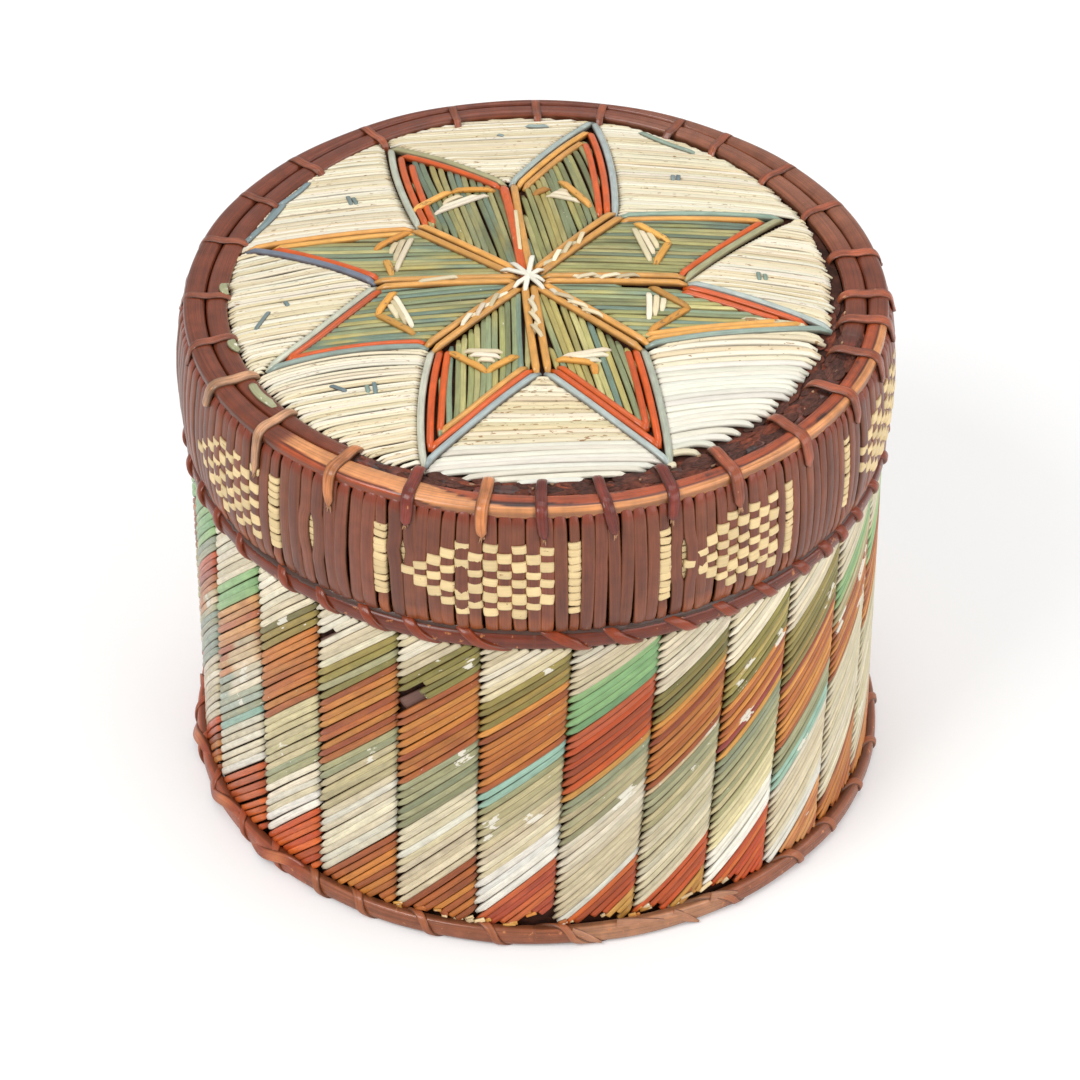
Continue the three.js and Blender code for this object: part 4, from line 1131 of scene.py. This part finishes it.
# Undyed fields between the points: the run of their quills, their fan, the width of one, and how far their
# ends hook towards the front at the rim
FIELDS = [
    (-2, 4, 0.86, 0.6), (-2, -4, 0.95, 0.3), (3, 4, 0.95, 0.0), (4, 0, 0.95, 0.2), (6, -6, 0.84, 0.4),
    (8, -4, 0.82, 0.7), (3, -3, 1.25, 0.3), (13, -8, 1.45, 1.2),
]
FRONT_FIELD, RIGHT_FIELD = 6, 7
for k, (angle, fan, width, hook) in enumerate(FIELDS):
    spread = [
        np.arctan2(*((tip - QUILLED_CENTRE) / QUILLED_HALF)[::-1]) for tip in (TIPS[k], TIPS[(k + 1) % 8])
    ]
    spread[1] += 2 * np.pi if spread[1] < spread[0] else 0
    arc = [QUILLED_CENTRE + QUILLED_HALF * np.array([np.cos(a), np.sin(a)]) for a in np.linspace(*spread, 14)]
    field = Sheaf(80 + k)
    rng = field.rng
    curve = rng.uniform(-1.2, 1.2)
    for share, (start, end) in hatched(np.array([NOTCHES[k], *arc]), angle, fan, width, rng):
        whiter = (k == FRONT_FIELD and share < 0.36) or (k == RIGHT_FIELD and 0.12 < share < 0.75)
        dye, wear, broad = "ivory", 0.3, 1.12
        if whiter:
            dye, wear, broad = "snow", 0.1, 1.22
        elif k == FRONT_FIELD:
            dye, wear = "cream", 0.38
        colour = shade_of(dye, rng, 0.04)
        ends, hooks = [], []
        for spot, direction in ((start, -1), (end, 1)):
            at_rim = np.hypot(*((spot - QUILLED_CENTRE) / QUILLED_HALF)) > 0.98
            longer = rng.uniform(-0.5, 1.0) if at_rim else 0.3
            ends.append(spot + direction * unit(end - start) * longer)
            hooks.append(hook * rng.uniform(0.6, 1.3) if at_rim else 0)
        bow = curve * (0.5 - share) + rng.uniform(-0.4, 0.4) + hook * 0.35
        lay(
            field, *ends, width * broad, colour, bow=bow, tuck=0.5, wear=wear, flat=0.7, stations=19,
            hooks=hooks,
        )
    field.piece(f"field_quills_{k + 1}", cream_finish, "lid", "quill_cream", f"cream_field_{k + 1}")

cool_lines.piece("star_cool_lines", line_finish, "lid", "quill_blue", "star_outline_blue")
warm_lines.piece("star_warm_lines", line_finish, "lid", "quill_red", "star_outline_red")

# Paired quills from the middle to the notches, one of them red
spokes = Sheaf(90)
rng = spokes.rng
for k, notch in enumerate(NOTCHES):
    run = notch - STAR_CENTRE
    run = run / np.hypot(*run)
    for side in (-1, 1):
        dye, width = (ORANGE_RED, 2.2) if k == 2 and side > 0 else (OCHRE, 1.8)
        colour = np.clip(np.array(dye) * rng.uniform(0.92, 1.05), 0, LIGHTEST)
        start = STAR_CENTRE + run * rng.uniform(1.5, 3.5) + leftwards(run) * side * 0.9
        end = notch - run * rng.uniform(0, 0.8) + leftwards(run) * side * 1.2
        lay(
            spokes, start, end, width, colour, lift=0.75, bow=rng.uniform(-0.3, 0.3), taper=0.7, wear=0.2,
            flat=0.8, stations=17, section=TUBE,
        )
spokes.piece("star_spoke_quills", line_finish, "lid", "quill_ochre", "star_spokes")

# Stitches over the star: in each point three white bars, from x, y to x, y, and an ochre V
BARS = [
    (24.1, -4.9, 24.0, -15.0, 25.8, -5.6, 25.3, -13.2, 27.3, -6.5, 26.7, -11.8),
    (21.2, 19.5, 24.8, 6.3, 22.6, 18.8, 25.6, 9.1, 24.1, 18.1, 26.5, 11.4),
    (2.1, 32.3, 9.7, 29.5, 3.1, 33.4, 7.9, 32.0, 4.6, 34.6, 7.2, 33.4),
    (-22.3, 25.1, -10.4, 32.7, -21.2, 27.2, -12.5, 32.7, -20.6, 29.2, -16.0, 32.7),
    (-26.9, 16.0, -30.2, 3.5, -28.6, 15.6, -30.6, 7.0, -29.9, 14.6, -31.6, 9.7),
    (-30.6, -5.6, -26.2, -17.4, -31.1, -7.0, -27.6, -16.0, -31.6, -8.4, -29.2, -14.2),
    (-15.6, -26.2, -6.7, -26.7, -14.2, -27.4, -7.2, -28.3, -12.5, -29.0, -8.4, -29.5),
    (5.2, -28.4, 15.9, -25.3, 6.3, -29.2, 15.6, -27.2, 8.4, -29.9, 13.9, -29.0),
]
VEES = [
    [(24.4, -3.2), (32.7, -10.2), (24.1, -19.1)],
    [(21.6, 21.2), (29.0, 14.2), (25.8, 5.6)],
    [(-0.6, 32.7), (2.8, 35.4), (5.2, 38.7), (11.8, 27.6)],
    [(-26.5, 26.7), (-18.8, 34.5), (-9.1, 34.5)],
    [(-35.1, 11.8), (-27.2, 18.1), (-32.7, 7.7), (-31.1, 1.7)],
    [(-30.2, -4.5), (-33.9, -12.5), (-25.8, -19.9)],
    [(-18.4, -26.2), (-10.3, -33.0), (-3.8, -27.9)],
    [(4.2, -29.2), (12.3, -30.4), (12.5, -33.4)],
]
# Spokes with white quills crossed between their pairs, and how far out those begin
CROSSED_SPOKES = [(0, 12.0), (1, 9.0), (5, 9.5), (6, 9.0), (7, 9.0)]
# White quills knotted in the middle
KNOT = [(-0.7, 7.0, -2.4, -6.6), (-7.6, 1.6, 1.8, -2.6), (-5.6, 4.2, 1.8, -6.0), (1.6, 1.8, -4.8, -5.0)]
PALE_GREEN = (216, 210, 174)
stitches = Sheaf(91)
rng = stitches.rng
for start, end in np.reshape(BARS, (-1, 2, 2)):
    colour = shade_of("cream", rng, 0.06)
    lay(stitches, start, end, 1.35, colour, lift=0.6, bow=rng.uniform(-0.2, 0.2), flat=0.6)
for vee in VEES:
    for start, end in zip(vee[::2], vee[1::2]) if len(vee) == 4 else zip(vee, vee[1:]):
        colour, bow = shade_of("ochre", rng, 0.12), rng.uniform(-0.2, 0.2)
        lay(stitches, start, end, 1.65, colour, lift=0.8, bow=bow, taper=0.7, wear=0.4, flat=0.65)
for k, begin in CROSSED_SPOKES:
    run = unit(NOTCHES[k] - STAR_CENTRE)
    for step in range(3):
        for side in (-1, 1):
            middle = STAR_CENTRE + run * (begin + 4.4 * step + rng.uniform(0.6, 1.6) * side)
            slant = leftwards(run) * rng.uniform(0.6, 1.2) * side
            start, end = middle - run * 2.7 - slant, middle + run * 2.7 + slant
            lay(stitches, start, end, 1.1, shade_of("cream", rng, 0.08), lift=1.0 + 0.25 * side, flat=0.55)
lay(stitches, (-26.0, -2.2), (-16.0, -0.6), 1.2, shade_of("cream", rng), lift=1.0, flat=0.6)
lay(stitches, (43.5, -12.8), (58.0, -14.4), 1.4, PALE_GREEN, lift=0.3, wear=0.6, flat=0.6)
lay(stitches, (-4.6, 26.0), (-3.4, 8.0), 0.9, shade_of("cream", rng), lift=0.9, flat=0.6)
for start, end in np.reshape(KNOT, (-1, 2, 2)):
    lay(stitches, start, end, 1.2, shade_of("white", rng, 0.05), lift=1.4, tuck=0.7, flat=0.6)
stitches.piece("star_stitches", cream_finish, "lid", "quill_cream")

# Blue flecks in the fields, then dyed quills along the rim, some of them on the hoop: from x, y to x, y
FLECKS = [
    (-42.0, 36.0, -40.6, 30.4), (-40.8, 35.0, -39.4, 30.6), (30.4, 43.6, 30.4, 40.2),
    (31.6, 43.8, 31.6, 40.4), (48.0, 5.8, 48.2, 1.4), (49.4, 5.0, 49.6, 1.8), (-60.2, -14.6, -56.8, -7.2),
    (-54.2, -4.6, -53.0, -7.0), (-43.9, -34.8, -39.0, -37.6), (-34.1, -34.1, -33.4, -39.0),
    (-35.6, -35.2, -35.0, -38.4), (-9.0, 61.0, -7.2, 60.2),
]
RIM_QUILLS = [
    (-64.4, 18.0, -57.2, 33.2), (-62.9, 21.0, -55.6, 35.0), (-57.6, 33.0, -50.4, 43.4),
    (23.0, 63.6, 36.0, 54.0), (-59.9, -33.0, -54.4, -41.4), (-66.8, 3.0, -66.6, -1.0),
    (-64.6, -17.5, -63.0, -21.5), (-3.0, 65.6, 3.4, 65.6),
]
HOOP_GREEN = np.array((164, 164, 126))
flecks = Sheaf(92)
rng = flecks.rng
for start, end in np.reshape(FLECKS, (-1, 2, 2)):
    lay(flecks, start, end, 1.0, shade_of("steel", rng, 0.1), lift=0.35, flat=0.6)
for start, end in np.reshape(RIM_QUILLS, (-1, 2, 2)):
    if np.hypot(*start) > RIM_INSIDE and start[1] < 10:
        width, lift, colour = 2.0, 1.75, HOOP_GREEN * rng.uniform(0.9, 1.05)
    else:
        width, lift, colour = 1.5, 0.5, shade_of("steel", rng, 0.1) + 14
    lay(flecks, start, end, width, colour, lift=lift, bow=-0.8, wear=0.3, flat=0.5)
flecks.piece("field_flecks", quill_finish, "lid", "quill_blue")


# Ground, light and camera, in metres

GROUND_HALF = 4
CAMERA_AT = (0.00083, -0.83356, 0.71443)
CAMERA_TARGET = (0.00083, 0, 0.05187)
CAMERA_LENS = 157.96
CAMERA_SENSOR = 36
WHITE = (1, 1, 1, 1)


def put(name, data, position=(0, 0, 0), target=None):
    """Adds an object to the scene, turned to look at a target."""
    made = bpy.data.objects.new(name, data)
    made.location = position
    if target is not None:
        towards = Vector(target) - made.location
        made.rotation_euler = towards.to_track_quat("-Z", "Y").to_euler()
    bpy.context.scene.collection.objects.link(made)
    return made


floor_mesh = bpy.data.meshes.new("ground")
corners = [(x * GROUND_HALF, y * GROUND_HALF, 0) for x, y in ((-1, -1), (1, -1), (1, 1), (-1, 1))]
floor_mesh.from_pydata(corners, [], [(0, 1, 2, 3)])
put("ground", floor_mesh)
paper, tree, surface = new_finish("white_paper")
set_inputs(
    surface, Base_Color=(0.8, 0.8, 0.8, 1), Roughness=1.0, Specular_IOR_Level=0.0, Emission_Color=WHITE
)
camera_ray = add(tree, "ShaderNodeLightPath").outputs["Is Camera Ray"]
tree.links.new(times(tree, camera_ray, 0.2), surface.inputs["Emission Strength"])
floor_mesh.materials.append(paper)

world = bpy.data.worlds.new("studio")
bpy.context.scene.world = world
world.use_nodes = True
tree = world.node_tree
sky = tree.nodes["Background"]
set_inputs(sky, Color=WHITE)
seen = add(tree, "ShaderNodeLightPath").outputs["Is Camera Ray"]
tree.links.new(between(tree, seen, 0.0, 1.0, 0.55, 1.0), sky.inputs["Strength"])

# Softboxes: position, height of what they light, width and power
SOFTBOXES = {
    "key": ((-0.75, -0.7, 1.15), 0.06, 0.7, 11),
    "fill": ((0.9, -0.9, 0.7), 0.06, 0.9, 5),
    "side": ((1.25, -0.2, 0.6), 0.06, 0.7, 3.5),
    "top": ((0.1, 0.35, 1.3), 0.1, 0.8, 3.8),
}
for name, (position, target_height, width, power) in SOFTBOXES.items():
    lamp = bpy.data.lights.new(name, "AREA")
    lamp.shape = "SQUARE"
    lamp.size = width
    lamp.energy = power
    put(name, lamp, position, (0, 0, target_height))

camera = bpy.data.cameras.new("camera")
camera.lens = CAMERA_LENS
camera.sensor_width = CAMERA_SENSOR
bpy.context.scene.camera = put("camera", camera, CAMERA_AT, CAMERA_TARGET)
bpy.context.scene.view_settings.view_transform = "Standard"
